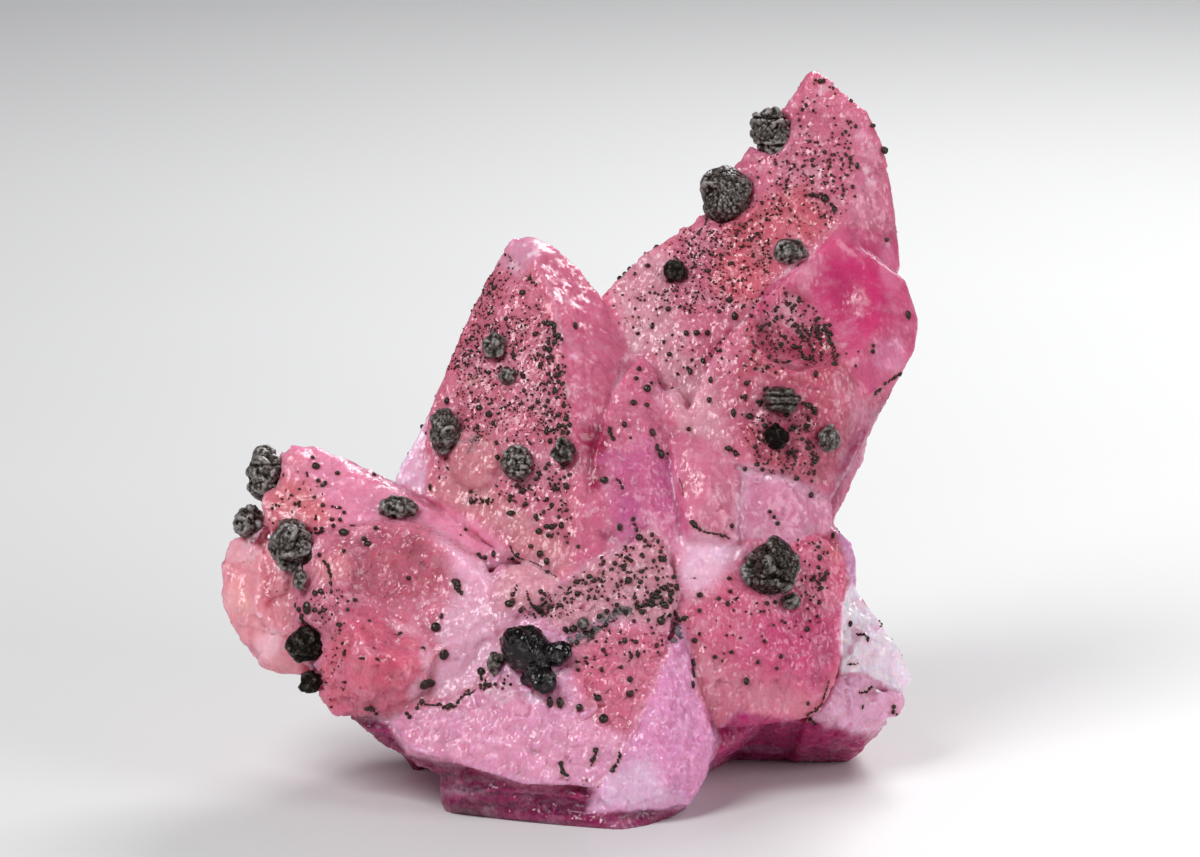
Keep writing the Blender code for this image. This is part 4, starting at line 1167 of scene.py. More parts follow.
# Zones of scattered pellets: outline, pellets in a square millimetre, smallest and largest width
PELLET_ZONES = {
    "tall": [
        (
            [
                (20.4, 63.8), (22.0, 63.4), (24.0, 61.4), (24.4, 57.0), (23.8, 54.0), (19.0, 57.4),
                (19.3, 61.0),
            ],
            1.7, 0.21, 0.40,
        ),
        (
            [
                (15.5, 56.2), (19.0, 57.6), (24.2, 57.0), (23.4, 52.4), (21.4, 50.2), (19.0, 50.0),
                (16.8, 48.8), (12.0, 50.2), (15.0, 51.2), (15.4, 54.0),
            ],
            3.6, 0.16, 0.36,
        ),
        (
            [
                (9.0, 50.4), (12.0, 51.8), (15.0, 51.2), (16.9, 50.4), (17.2, 48.0), (16.9, 46.6),
                (15.8, 44.6), (13.4, 43.6), (10.0, 43.8), (7.6, 44.0), (8.0, 46.2), (9.8, 47.8),
                (8.2, 49.0),
            ],
            5.4, 0.14, 0.32,
        ),
        (
            [
                (2.6, 45.6), (7.0, 49.4), (8.4, 48.8), (8.0, 44.0), (9.5, 41.2), (14.6, 41.6), (15.8, 44.4),
                (14.4, 38.2), (9.4, 38.2), (6.2, 41.6), (4.0, 43.0),
            ],
            1.2, 0.14, 0.36,
        ),
        (
            [
                (15.4, 43.4), (16.0, 44.6), (18.0, 45.8), (20.4, 44.2), (22.2, 43.2), (22.4, 41.0),
                (22.8, 39.2), (20.6, 39.0), (19.0, 40.2), (17.6, 38.6), (14.6, 38.8), (14.6, 41.0),
            ],
            3.6, 0.16, 0.40,
        ),
        ([(19.2, 42.6), (22.0, 42.8), (22.4, 40.0), (19.4, 39.6)], 5.0, 0.16, 0.42),
        ([(14.6, 39.0), (16.8, 39.0), (16.8, 36.0), (16.0, 34.2), (14.4, 35.4)], 1.6, 0.16, 0.42),
        (
            [
                (14.4, 33.8), (16.0, 34.8), (20.0, 35.8), (21.2, 35.2), (20.8, 32.0), (21.2, 30.2),
                (17.6, 29.9), (15.8, 31.2),
            ],
            5.4, 0.14, 0.40,
        ),
    ],
    "centre": [
        (
            [
                (-7.2, 47.2), (-5.6, 48.8), (-4.8, 48.0), (-3.0, 46.8), (-2.3, 44.5), (-2.0, 42.4),
                (-4.0, 41.5), (-8.6, 42.2),
            ],
            4.2, 0.11, 0.30,
        ),
        (
            [(-10.6, 39.0), (-8.8, 43.8), (-7.2, 47.4), (-5.8, 46.4), (-7.2, 42.4), (-8.6, 39.0)],
            9.0, 0.11, 0.25,
        ),
        (
            [
                (-10.4, 38.4), (-9.4, 42.2), (-2.0, 43.4), (-0.9, 42.0), (-0.6, 38.0), (0.0, 35.0),
                (0.0, 33.2), (-4.0, 32.4), (-8.0, 33.0), (-9.4, 34.4), (-9.4, 36.0),
            ],
            7.5, 0.11, 0.29,
        ),
        (
            [
                (-3.2, 31.0), (0.2, 31.0), (0.2, 24.4), (-2.0, 25.0), (-3.2, 27.0), (-5.8, 28.0),
                (-6.4, 29.4), (-4.0, 29.6),
            ],
            2.6, 0.18, 0.46,
        ),
        ([(-2.4, 43.4), (-1.0, 43.0), (-0.4, 38.0), (0.2, 33.4), (-2.0, 33.4)], 2.2, 0.26, 0.48),
        ([(-11.6, 31.0), (-10.0, 31.4), (-9.8, 29.6), (-11.6, 29.6)], 2.0, 0.16, 0.30),
        ([(-8.8, 28.9), (-6.0, 28.9), (-6.0, 27.5), (-8.6, 27.4)], 2.4, 0.20, 0.40),
    ],
    "front": [
        (
            [
                (0.2, 21.0), (3.0, 22.7), (7.4, 24.9), (8.3, 22.4), (9.0, 20.0), (8.9, 18.0), (4.0, 18.2),
                (2.4, 19.2), (0.0, 19.4),
            ],
            2.6, 0.20, 0.42,
        ),
        ([(6.0, 20.0), (9.0, 20.6), (9.1, 17.9), (5.4, 17.9)], 3.2, 0.24, 0.50),
        (
            [
                (-4.3, 18.9), (-3.0, 19.1), (-1.6, 20.0), (0.2, 20.6), (0.8, 17.9), (-1.0, 17.6),
                (-4.3, 17.7),
            ],
            4.4, 0.16, 0.36,
        ),
        (
            [(3.0, 17.6), (7.9, 17.5), (8.0, 15.0), (5.0, 13.6), (2.4, 12.8), (0.2, 12.8), (0.4, 15.4)],
            0.9, 0.18, 0.36,
        ),
        ([(-7.6, 13.0), (-4.8, 13.0), (-4.4, 12.0), (-7.6, 11.6)], 3.4, 0.20, 0.42),
    ],
    "left": [
        (
            [
                (-25.6, 27.0), (-24.6, 30.0), (-23.0, 30.2), (-21.0, 30.0), (-20.0, 28.4), (-19.4, 26.2),
                (-23.0, 26.2),
            ],
            1.8, 0.16, 0.36,
        ),
        ([(-21.8, 20.2), (-19.4, 20.2), (-19.2, 17.0), (-20.4, 15.8), (-22.0, 17.2)], 4.2, 0.13, 0.34),
        (
            [(-21.6, 13.8), (-20.4, 15.6), (-19.2, 14.0), (-19.0, 10.6), (-20.4, 10.0), (-21.8, 11.6)],
            1.3, 0.12, 0.24,
        ),
        ([(-20.2, 15.9), (-18.6, 15.9), (-18.6, 14.2), (-20.2, 14.2)], 2.2, 0.14, 0.30),
        ([(-26.2, 26.6), (-24.8, 26.0), (-24.6, 24.4), (-25.8, 24.4)], 3.0, 0.16, 0.34),
    ],
    "right": [
        ([(19.3, 24.3), (21.8, 24.3), (22.0, 20.4), (20.0, 19.0), (19.3, 20.4)], 2.8, 0.16, 0.34),
        (
            [
                (10.0, 21.4), (15.4, 21.4), (19.0, 18.6), (21.4, 18.8), (20.6, 15.6), (13.0, 13.6),
                (10.2, 15.4),
            ],
            0.32, 0.18, 0.34,
        ),
        ([(3.6, 39.0), (8.0, 39.0), (8.6, 31.0), (4.0, 31.0)], 0.10, 0.3, 0.5),
    ],
}

# Single specks, as they lie in the photograph: across, rise, width and height
SPECKS = {
    "tall": [
        (21.3, 63.4, 0.50, 0.45), (23.85, 61.7, 0.35, 0.40), (25.7, 59.6, 0.55, 0.40),
        (26.6, 57.5, 0.70, 0.70), (24.4, 56.2, 0.35, 0.60), (24.0, 54.4, 0.35, 0.40),
        (24.2, 53.6, 0.32, 0.30), (20.6, 53.7, 0.60, 0.45), (21.0, 53.6, 0.40, 0.35),
        (21.65, 53.4, 0.65, 0.75), (22.2, 52.9, 0.35, 0.35), (22.5, 52.5, 0.45, 0.60),
        (26.9, 49.9, 0.50, 0.40), (28.1, 48.6, 0.40, 0.40), (6.6, 47.7, 0.50, 0.40),
        (9.9, 47.1, 0.50, 0.55), (13.7, 47.9, 0.55, 0.35), (13.6, 44.8, 0.60, 0.55),
        (14.0, 43.4, 0.58, 0.75), (12.7, 43.8, 0.42, 0.32), (8.4, 44.0, 0.50, 0.48),
        (11.7, 47.3, 0.45, 0.50), (9.9, 41.9, 0.50, 0.55), (10.75, 42.0, 0.60, 0.45),
        (11.6, 42.0, 0.55, 0.50), (5.8, 41.9, 0.42, 0.35), (8.0, 41.2, 0.30, 0.38),
        (8.45, 40.2, 0.48, 0.40), (11.3, 39.6, 0.42, 0.60), (10.2, 38.7, 0.40, 0.60),
        (11.95, 38.0, 0.36, 0.60), (15.0, 37.7, 0.50, 0.42), (13.9, 35.2, 0.42, 0.75),
        (11.8, 36.3, 0.45, 0.50), (15.2, 34.9, 0.70, 0.55), (10.1, 33.8, 0.40, 0.42),
        (14.9, 30.4, 0.40, 0.40), (15.9, 30.8, 0.50, 0.38), (16.4, 30.4, 0.40, 0.40),
        (18.4, 30.5, 0.30, 0.30), (19.25, 29.7, 0.50, 0.45), (20.5, 28.2, 0.42, 0.50),
        (20.55, 29.4, 0.30, 0.30), (28.7, 43.5, 0.50, 0.75), (25.7, 40.4, 0.45, 0.42),
        (25.75, 40.9, 0.32, 0.36), (22.5, 39.3, 0.60, 0.40), (24.25, 39.2, 0.25, 0.30),
        (23.5, 40.2, 0.25, 0.22), (24.5, 40.4, 0.25, 0.20), (20.9, 38.5, 0.40, 0.60),
        (21.6, 42.3, 0.60, 0.40), (20.3, 35.8, 0.60, 0.50), (20.8, 35.5, 0.45, 0.55),
        (15.7, 32.3, 0.42, 0.40), (20.2, 32.2, 0.50, 0.40), (18.5, 35.0, 0.70, 0.50),
        (19.4, 36.4, 0.50, 0.60), (16.5, 34.1, 0.50, 0.50), (18.8, 33.8, 0.60, 0.42),
        (8.3, 46.4, 0.35, 0.30), (7.3, 44.0, 0.30, 0.30), (7.0, 42.6, 0.35, 0.60), (17.0, 48.3, 0.40, 0.30),
        (18.3, 45.4, 0.40, 0.28), (17.9, 41.0, 0.55, 0.40), (19.0, 40.8, 0.50, 0.45),
        (18.6, 39.5, 0.45, 0.35),
    ],
    "centre": [
        (-4.0, 45.4, 0.60, 0.48), (-3.4, 46.6, 0.40, 0.42), (-5.4, 43.2, 0.38, 0.42),
        (-6.4, 45.8, 0.50, 0.42), (0.4, 42.6, 0.42, 0.70), (-1.3, 42.5, 0.40, 0.75),
        (-1.9, 42.75, 0.80, 0.30), (-2.9, 41.9, 0.45, 0.45), (-1.7, 40.5, 0.60, 0.55),
        (-1.4, 41.2, 0.32, 0.50), (-4.8, 40.1, 0.42, 0.40), (-1.0, 39.1, 0.32, 0.50),
        (-1.2, 38.4, 0.50, 0.50), (-4.1, 38.5, 0.36, 0.42), (-3.9, 37.1, 0.36, 0.42),
        (-6.9, 38.6, 0.45, 0.40), (-7.7, 35.6, 0.60, 0.50), (-6.9, 35.1, 0.60, 0.60),
        (-8.0, 33.9, 0.50, 0.42), (-6.5, 34.3, 0.40, 0.40), (-2.7, 36.1, 0.42, 0.40),
        (-0.5, 35.8, 0.42, 0.40), (-0.3, 34.7, 0.50, 0.45), (-0.6, 33.5, 0.40, 0.34),
        (-1.7, 32.8, 0.42, 0.50), (-6.3, 32.6, 0.40, 0.42), (-6.2, 31.4, 0.42, 0.50),
        (-10.4, 36.2, 0.45, 0.60), (-1.3, 37.1, 0.34, 0.70), (-11.9, 28.9, 0.32, 0.60),
        (-8.4, 28.5, 0.40, 0.32), (-8.4, 27.7, 0.40, 0.60), (-7.4, 27.7, 0.32, 0.40),
        (-7.0, 27.7, 0.40, 0.40), (-6.0, 28.3, 0.30, 0.30), (-4.0, 28.6, 0.52, 0.55),
        (-1.3, 28.8, 0.50, 0.50), (-0.3, 28.9, 0.50, 0.48), (-5.0, 26.7, 0.75, 0.45),
        (-2.9, 26.4, 0.42, 0.50), (-2.6, 25.1, 0.60, 0.50), (-2.0, 25.5, 0.50, 0.45),
        (-1.5, 25.5, 0.55, 0.50), (-0.7, 25.6, 0.50, 0.48), (-3.3, 23.8, 0.48, 0.42),
        (-2.5, 23.2, 0.60, 0.65), (-2.0, 22.6, 0.45, 0.60), (-0.2, 24.2, 0.30, 0.30),
        (0.7, 23.8, 0.36, 0.36), (-8.9, 25.3, 0.30, 0.34), (-9.3, 24.8, 0.20, 0.22),
        (-7.8, 23.1, 0.42, 0.40), (-7.2, 22.9, 0.40, 0.42), (-6.5, 23.2, 0.34, 0.65),
        (5.85, 38.9, 0.45, 0.45), (5.6, 38.1, 0.45, 0.38), (6.5, 37.2, 0.68, 0.68), (5.4, 36.0, 0.58, 0.55),
        (4.6, 34.2, 0.48, 0.55), (6.95, 33.5, 0.50, 0.70), (2.9, 29.5, 0.70, 0.55), (4.2, 25.5, 0.42, 0.70),
        (13.7, 25.6, 0.40, 0.45), (17.0, 26.8, 0.35, 0.35), (17.35, 26.4, 0.32, 0.40),
        (17.6, 25.8, 0.50, 0.40), (19.4, 24.4, 0.22, 0.32),
    ],
    "front": [
        (5.8, 24.5, 0.80, 0.68), (6.4, 24.3, 0.40, 0.42), (7.9, 22.75, 0.75, 0.50),
        (4.7, 23.85, 0.32, 0.30), (5.4, 23.7, 0.32, 0.30), (2.75, 22.85, 0.36, 0.32),
        (4.0, 23.1, 0.36, 0.28), (4.4, 23.1, 0.32, 0.28), (6.1, 23.1, 0.42, 0.40), (5.2, 22.7, 0.42, 0.38),
        (3.8, 22.4, 0.40, 0.42), (4.5, 22.2, 0.70, 0.32), (3.6, 21.8, 0.50, 0.46), (1.7, 21.3, 0.58, 0.48),
        (2.0, 21.0, 0.46, 0.42), (0.55, 20.8, 0.48, 0.42), (1.1, 21.0, 0.30, 0.30), (4.9, 21.6, 0.42, 0.40),
        (6.1, 21.7, 0.50, 0.38), (5.0, 20.9, 0.70, 0.60), (6.0, 20.8, 0.50, 0.42), (5.5, 21.35, 0.32, 0.32),
        (8.8, 21.3, 0.50, 0.42), (9.0, 20.35, 0.48, 0.60), (8.0, 20.3, 0.42, 0.50), (8.5, 19.2, 0.48, 0.60),
        (8.1, 18.9, 0.40, 0.50), (7.7, 19.6, 0.42, 0.36), (8.5, 19.7, 0.42, 0.40), (6.9, 18.85, 0.68, 0.60),
        (6.2, 18.3, 0.60, 0.40), (5.5, 19.5, 0.42, 0.40), (3.1, 18.4, 0.50, 0.42), (7.7, 17.55, 0.70, 0.68),
        (8.5, 18.0, 0.42, 0.40), (6.6, 17.6, 0.40, 0.32), (5.5, 17.5, 0.42, 0.36), (4.0, 18.9, 0.42, 0.40),
        (0.3, 16.8, 0.60, 0.80), (-0.5, 16.8, 0.70, 0.50), (0.6, 15.6, 0.48, 0.45), (0.2, 15.4, 0.40, 0.48),
        (2.5, 17.9, 0.50, 0.42), (2.8, 15.05, 0.36, 0.36), (3.0, 14.7, 0.36, 0.36),
        (4.3, 16.55, 0.32, 0.30), (4.65, 15.85, 0.46, 0.50), (4.2, 15.7, 0.36, 0.32),
        (5.6, 15.7, 0.42, 0.40), (7.4, 15.4, 0.36, 0.46), (7.1, 16.5, 0.30, 0.30), (6.9, 16.9, 0.30, 0.30),
        (6.3, 14.9, 0.30, 0.30), (5.8, 14.7, 0.42, 0.40), (5.2, 14.5, 0.36, 0.50),
        (5.05, 14.85, 0.30, 0.32), (1.5, 13.9, 0.36, 0.32), (0.7, 13.3, 0.36, 0.36),
        (2.7, 13.4, 0.32, 0.50), (4.3, 13.6, 0.42, 0.36), (5.05, 12.5, 0.52, 0.50),
        (5.1, 11.35, 0.62, 0.70), (5.6, 11.7, 0.26, 0.26), (2.4, 10.9, 0.62, 0.60), (2.1, 11.2, 0.32, 0.32),
        (-0.9, 10.55, 0.62, 1.00), (-1.7, 10.6, 0.52, 0.90), (0.8, 10.15, 0.60, 0.65),
        (2.8, 9.15, 0.80, 0.78), (1.4, 4.0, 0.20, 0.20), (2.4, 3.4, 0.16, 0.16), (-7.5, 13.2, 0.75, 0.65),
        (-6.8, 12.0, 0.60, 0.48), (-7.2, 12.1, 0.40, 0.40), (-5.6, 12.2, 0.32, 0.30),
        (-4.2, 18.4, 0.42, 0.45), (-2.5, 20.0, 0.45, 0.42), (-0.8, 18.8, 0.55, 0.40),
        (-10.8, 14.7, 0.80, 0.90), (-11.4, 17.0, 0.85, 0.80), (-10.9, 17.9, 0.36, 0.50),
    ],
    "left": [
        (-21.6, 30.6, 0.70, 0.68), (-21.9, 31.4, 0.36, 0.36), (-19.75, 30.05, 0.48, 0.42),
        (-24.6, 31.3, 0.40, 0.38), (-21.4, 29.4, 0.40, 0.40), (-21.1, 29.0, 0.48, 0.42),
        (-20.8, 29.2, 0.36, 0.48), (-21.0, 27.3, 0.40, 0.48), (-20.2, 27.2, 0.32, 0.30),
        (-19.6, 27.1, 0.40, 0.32), (-19.2, 26.7, 0.32, 0.40), (-19.6, 26.1, 0.42, 0.40),
        (-20.2, 26.1, 0.48, 0.40), (-21.6, 25.4, 0.40, 0.30), (-21.1, 25.4, 0.42, 0.30),
        (-20.1, 25.6, 0.40, 0.40), (-21.6, 26.2, 0.32, 0.30), (-16.7, 29.9, 0.48, 0.40),
        (-13.7, 21.2, 0.45, 0.45), (-19.2, 25.0, 0.95, 0.60), (-17.2, 24.0, 0.60, 0.55),
        (-17.5, 24.5, 0.50, 0.40), (-16.5, 25.4, 0.50, 0.36), (-18.5, 25.6, 0.55, 0.22),
        (-19.2, 23.4, 0.36, 0.40), (-21.3, 23.1, 0.40, 0.42), (-21.7, 19.85, 0.50, 0.50),
        (-23.0, 18.5, 0.42, 0.50), (-19.6, 17.2, 0.60, 0.36), (-18.3, 19.3, 0.50, 0.32),
        (-18.9, 19.2, 0.32, 0.30), (-18.9, 18.5, 0.36, 0.36), (-19.4, 19.6, 0.30, 0.26),
        (-17.1, 17.5, 0.36, 0.32), (-17.7, 14.3, 0.60, 0.24), (-16.4, 14.2, 0.30, 0.40),
        (-16.7, 15.2, 0.26, 0.32), (-19.1, 14.8, 0.38, 0.60), (-19.3, 15.6, 0.30, 0.36),
        (-19.1, 12.3, 0.36, 0.26), (-21.1, 10.6, 0.36, 0.40), (-20.3, 10.2, 0.30, 0.24),
        (-13.9, 9.6, 0.42, 0.34), (-13.6, 9.3, 0.42, 0.42), (-22.9, 23.4, 0.50, 0.70),
        (-22.0, 22.9, 0.32, 0.55), (-24.9, 20.0, 0.16, 0.16),
    ],
    "right": [
        (15.1, 22.8, 0.60, 0.42), (13.5, 21.1, 0.48, 0.36), (13.6, 20.0, 0.40, 0.36),
        (12.65, 19.4, 0.36, 0.42), (13.4, 19.0, 0.36, 0.50), (13.9, 18.4, 0.26, 0.30),
        (14.95, 18.3, 0.26, 0.26), (14.25, 19.5, 0.22, 0.22), (11.0, 19.7, 0.58, 0.48),
        (11.0, 18.4, 0.40, 0.36), (10.6, 15.85, 0.50, 0.45), (11.0, 16.4, 0.26, 0.36),
        (13.3, 16.3, 0.30, 0.30), (13.85, 16.3, 0.22, 0.22), (14.5, 16.1, 0.30, 0.26),
        (16.5, 15.8, 0.36, 0.36), (16.3, 16.2, 0.22, 0.22), (16.2, 18.35, 0.30, 0.28),
        (16.5, 18.35, 0.30, 0.28), (18.0, 17.5, 0.30, 0.30), (18.3, 17.4, 0.30, 0.30),
        (18.65, 16.9, 0.22, 0.22), (20.2, 16.75, 0.50, 0.50), (19.65, 16.15, 0.22, 0.22),
        (20.4, 17.5, 0.30, 0.28), (21.0, 17.9, 0.36, 0.32), (20.2, 18.55, 0.30, 0.26),
        (21.15, 19.1, 0.36, 0.46), (20.5, 19.3, 0.24, 0.24), (12.3, 14.45, 0.46, 0.36),
        (13.1, 14.75, 0.22, 0.22), (13.7, 14.85, 0.55, 0.32), (15.95, 14.0, 0.36, 0.36),
        (17.9, 14.5, 0.42, 0.42), (17.55, 13.5, 0.36, 0.32), (15.0, 12.35, 0.50, 0.70),
        (20.2, 10.5, 0.30, 0.40), (10.4, 12.1, 0.36, 0.70), (21.2, 22.9, 0.42, 0.55),
        (21.1, 22.05, 0.36, 0.42), (21.3, 20.3, 0.55, 0.36), (20.6, 21.0, 0.55, 0.38),
        (20.8, 21.3, 0.30, 0.48), (21.1, 23.8, 0.50, 0.30), (16.7, 19.0, 0.50, 0.40),
        (17.4, 19.1, 0.40, 0.36), (22.35, 24.8, 0.32, 0.55), (23.8, 17.3, 0.36, 0.55),
        (27.5, 10.2, 0.40, 0.40), (27.45, 9.8, 0.36, 0.45), (27.75, 9.6, 0.30, 0.24),
        (24.85, 10.2, 0.20, 0.45),
    ],
}

# Veins and streaks: width, then the points along it
VEINS = [
    (0.26, [(25.9, 36.9), (26.4, 37.3)]), (0.26, [(26.8, 37.7), (27.4, 38.1), (28.3, 38.7)]),
    (0.30, [(3.35, 34.0), (3.45, 33.5), (3.6, 33.0)]), (0.46, [(7.25, 32.4), (7.5, 31.9), (7.75, 31.3)]),
    (0.22, [(3.9, 29.7), (4.3, 29.2), (4.5, 28.8)]), (0.34, [(5.35, 26.3), (5.5, 25.8), (5.75, 25.2)]),
    (0.12, [(9.3, 29.6), (9.5, 29.0), (9.65, 28.2)]), (0.30, [(13.2, 32.2), (13.7, 32.15), (14.3, 31.7)]),
    (0.24, [(20.8, 31.6), (20.65, 30.9)]),
    (0.28, [(21.95, 41.9), (22.1, 41.2), (22.4, 40.4), (22.4, 39.8)]),
    (0.24, [(19.8, 36.0), (20.5, 35.9), (20.9, 35.2)]), (0.26, [(-2.2, 42.9), (-1.5, 42.8), (-1.3, 42.1)]),
    (0.13, [(-5.1, 23.9), (-4.9, 23.4), (-4.5, 22.9), (-3.9, 22.75)]),
    (0.10, [(-3.4, 22.6), (-2.9, 22.4), (-2.4, 22.1)]), (0.12, [(-1.9, 21.8), (-1.6, 21.5), (-1.2, 21.3)]),
    (0.34, [(-5.2, 22.8), (-4.8, 22.9), (-4.5, 23.0)]), (0.22, [(-4.6, 20.7), (-4.6, 20.2), (-4.7, 19.8)]),
    (0.44, [(-4.75, 19.7), (-4.9, 19.2), (-5.1, 18.9)]),
    (0.20, [(-3.65, 20.0), (-3.55, 19.4), (-3.2, 18.9), (-2.6, 18.75), (-2.0, 19.1)]),
    (0.34, [(-3.2, 18.8), (-2.7, 18.5), (-2.4, 18.5)]),
    (0.34, [(-13.0, 10.2), (-12.5, 10.6), (-12.1, 10.4)]),
    (0.22, [(-12.1, 10.4), (-11.6, 10.35), (-11.0, 10.45)]),
    (0.36, [(-10.7, 10.2), (-10.2, 10.3), (-9.7, 10.2)]),
    (0.20, [(-9.7, 10.3), (-9.5, 10.7), (-9.0, 11.2), (-8.5, 11.3), (-8.0, 11.6)]),
    (0.34, [(-9.0, 11.4), (-8.6, 11.5)]), (0.36, [(-17.2, 10.15), (-16.8, 10.0), (-16.5, 9.7)]),
    (0.55, [(-9.75, 20.8), (-9.55, 20.3), (-9.3, 19.9)]), (0.60, [(-12.3, 12.1), (-11.9, 12.4)]),
    (0.24, [(-20.9, 22.6), (-20.5, 22.1), (-20.35, 21.3), (-20.25, 20.4)]),
    (0.60, [(-22.5, 18.7), (-22.3, 18.3)]), (0.42, [(-22.9, 18.0), (-22.6, 17.5), (-22.2, 17.1)]),
    (0.30, [(-21.9, 18.4), (-21.3, 18.3), (-20.7, 18.5)]), (0.34, [(-20.8, 19.5), (-21.1, 19.9)]),
    (0.22, [(-22.0, 25.0), (-21.4, 25.05), (-20.9, 25.15)]),
    (0.34, [(10.3, 25.8), (10.6, 25.6), (11.0, 25.4)]),
    (0.20, [(11.0, 25.3), (11.6, 25.0), (12.4, 24.9), (13.0, 24.75), (13.6, 24.5)]),
    (0.26, [(10.45, 14.1), (10.45, 13.5), (10.5, 12.9)]),
    (0.14, [(22.0, 12.4), (21.7, 11.4), (21.35, 10.3)]),
    (0.24, [(21.35, 10.3), (20.9, 10.0), (20.5, 9.7), (20.1, 9.3), (20.5, 9.1), (20.85, 8.85)]),
    (0.30, [(21.95, 21.75), (21.6, 21.3), (21.35, 21.0)]),
    (0.20, [(24.4, 16.4), (25.0, 16.35), (25.25, 16.1), (25.3, 15.7)]),
    (0.18, [(23.6, 13.8), (24.1, 13.85), (24.4, 13.85)]),
    (0.24, [(24.6, 11.4), (25.2, 11.45), (25.6, 11.9)]),
    (0.20, [(2.3, 6.6), (2.15, 6.2), (2.0, 5.8), (1.85, 5.3)]),
    (0.32, [(2.2, 6.4), (2.0, 5.8), (1.9, 5.5)]), (0.34, [(-0.8, 5.5), (-0.65, 4.9), (-0.35, 4.4)]),
    (0.28, [(4.25, 6.3), (4.1, 5.7), (3.8, 5.1), (3.5, 4.8)]),
    (0.40, [(1.3, 16.5), (1.7, 16.4), (2.1, 16.6)]),
    (0.34, [(2.1, 16.7), (2.6, 17.1), (3.0, 17.1), (3.3, 17.4)]),
    (0.34, [(3.6, 18.3), (4.2, 18.4), (4.8, 18.3)]), (0.36, [(5.6, 18.6), (6.2, 18.9), (6.6, 19.1)]),
    (0.28, [(9.0, 18.1), (9.3, 17.5), (9.7, 17.7), (10.0, 17.9)]),
]

# The gray film from the glossy nodule up the front crystal, and the gouge beside it: across, rise, radius
FILM = [
    (0.2, 15.9, 0.55), (0.9, 16.1, 0.5), (1.6, 16.2, 0.5), (2.2, 16.9, 0.5), (2.9, 17.6, 0.55),
    (3.6, 18.0, 0.6), (4.3, 18.3, 0.55), (5.0, 18.4, 0.4), (9.2, 17.0, 0.4), (9.2, 16.4, 0.34),
    (8.9, 15.9, 0.24),
]

# The share of a pellet's thickness that is sunk in the face
PELLET_SINK = 0.22
# How a pellet's height may differ from its width
PELLET_STRETCH = (0.8, 1.25)
# The widths, in millimetres, from which a pellet is a finer ball, and is lumpy too
FINER_BALL = 0.34
FINEST_BALL = 0.6
# How thick pellets are as a share of their width: loose ones, the specks, the veins and the film
PELLET_FLAT = 0.8
SPECK_FLAT = 0.85
VEIN_FLAT = 0.6
FILM_FLAT = 0.3
# How many pellets are tried in each square millimetre of a zone's box, as a share of its density
TRIED = 1.9
# The size, in millimetres, of the thick and thin places of a zone
CLUMP_SIZE = 1.7
# How often another pellet follows in a chain, and how far on it lies, in widths of the one before
CHAIN_SHARE = 0.10
CHAIN_STEP = 0.85
# How wide the pellets of a vein are, as shares of its width, and how far they stray from it
VEIN_WIDTHS = [0.55, 0.7, 0.85, 1.0, 1.2, 1.5]
VEIN_STRAY = 0.28
# The film: grains in each patch, their smallest and largest width, and their spread as a share of its radius
FILM_GRAINS = 16
FILM_WIDTHS = (0.22, 0.46)
FILM_SPREAD = 0.4
BACK_PELLETS = 900


def zone_pellets(zone, random):
    """Scattered pellets of one zone, as (across, rise, width, height), some of them in short chains."""
    outline, density, small, large = zone
    corners = np.array(outline)
    low, high = corners.min(axis=0), corners.max(axis=0)
    count = int(np.prod(high - low) * density * TRIED)
    spots = low + random.random((count, 2)) * (high - low)
    inside = inside_outline(outline, spots)
    deep = np.concatenate([spots, np.zeros((count, 1))], axis=1)
    clumps = 0.66 + 0.5 * value_noise(deep, CLUMP_SIZE, SEEDS["pellet_clumps"])
    spots = spots[(inside > -0.15) & (random.random(count) < clumps)]
    pellets = []
    for across, rise in spots:
        width = 0.92 * (small + (large - small) * random.random() ** 2.2)
        pellets.append((across, rise, width, width * random.uniform(*PELLET_STRETCH)))
        while random.random() < CHAIN_SHARE:
            turn = random.uniform(0.0, 2.0 * np.pi)
            across += CHAIN_STEP * width * np.cos(turn)
            rise += CHAIN_STEP * width * np.sin(turn)
            width *= random.uniform(0.75, 1.15)
            pellets.append((across, rise, width, width * random.uniform(*PELLET_STRETCH)))
    return pellets


def vein_pellets(vein, random):
    """A vein as a ragged row of pellets."""
    width, route = vein
    pellets = []
    for start, end in zip(route, route[1:]):
        length = np.hypot(end[0] - start[0], end[1] - start[1])
        steps = max(2, int(length / (0.5 * width)))
        for step in range(steps + 1):
            share = step / steps
            size = width * random.choice(VEIN_WIDTHS)
            across, rise = (
                start[axis] + (end[axis] - start[axis]) * share
                + random.uniform(-VEIN_STRAY, VEIN_STRAY) * width
                for axis in (0, 1)
            )
            pellets.append((across, rise, size, size * random.uniform(*PELLET_STRETCH)))
    return pellets


def pellet_mesh(spot, normal, width, height, seed, balls, flat=PELLET_FLAT):
    """A lumpy pellet that sits in the face at a spot."""
    size = max(width, height)
    ball, triangles = balls[1 if size < FINER_BALL else 2 if size < FINEST_BALL else 3]
    normal = np.array(normal)
    up = UPWARD - normal * (UPWARD @ normal)
    up /= max(np.linalg.norm(up), 1e-6)
    side = np.cross(up, normal)
    thick = min(width, height) * flat
    knobs = 1.0 + 0.16 * value_noise(ball * 1.3 + seed * 7.7, 0.8, SEEDS["pellet_knobs"])
    if size >= FINER_BALL:
        knobs += 0.10 * (round_lumps(ball + seed * 3.1, 0.55, SEEDS["pellet_lumps"]) - 0.5)
    ball = ball * knobs[:, None]
    middle = np.array(spot) + normal * thick * (0.5 - PELLET_SINK)
    shape = ball[:, :1] * side * width / 2 + ball[:, 1:2] * up * height / 2 + ball[:, 2:] * normal * thick / 2
    return middle + shape, triangles


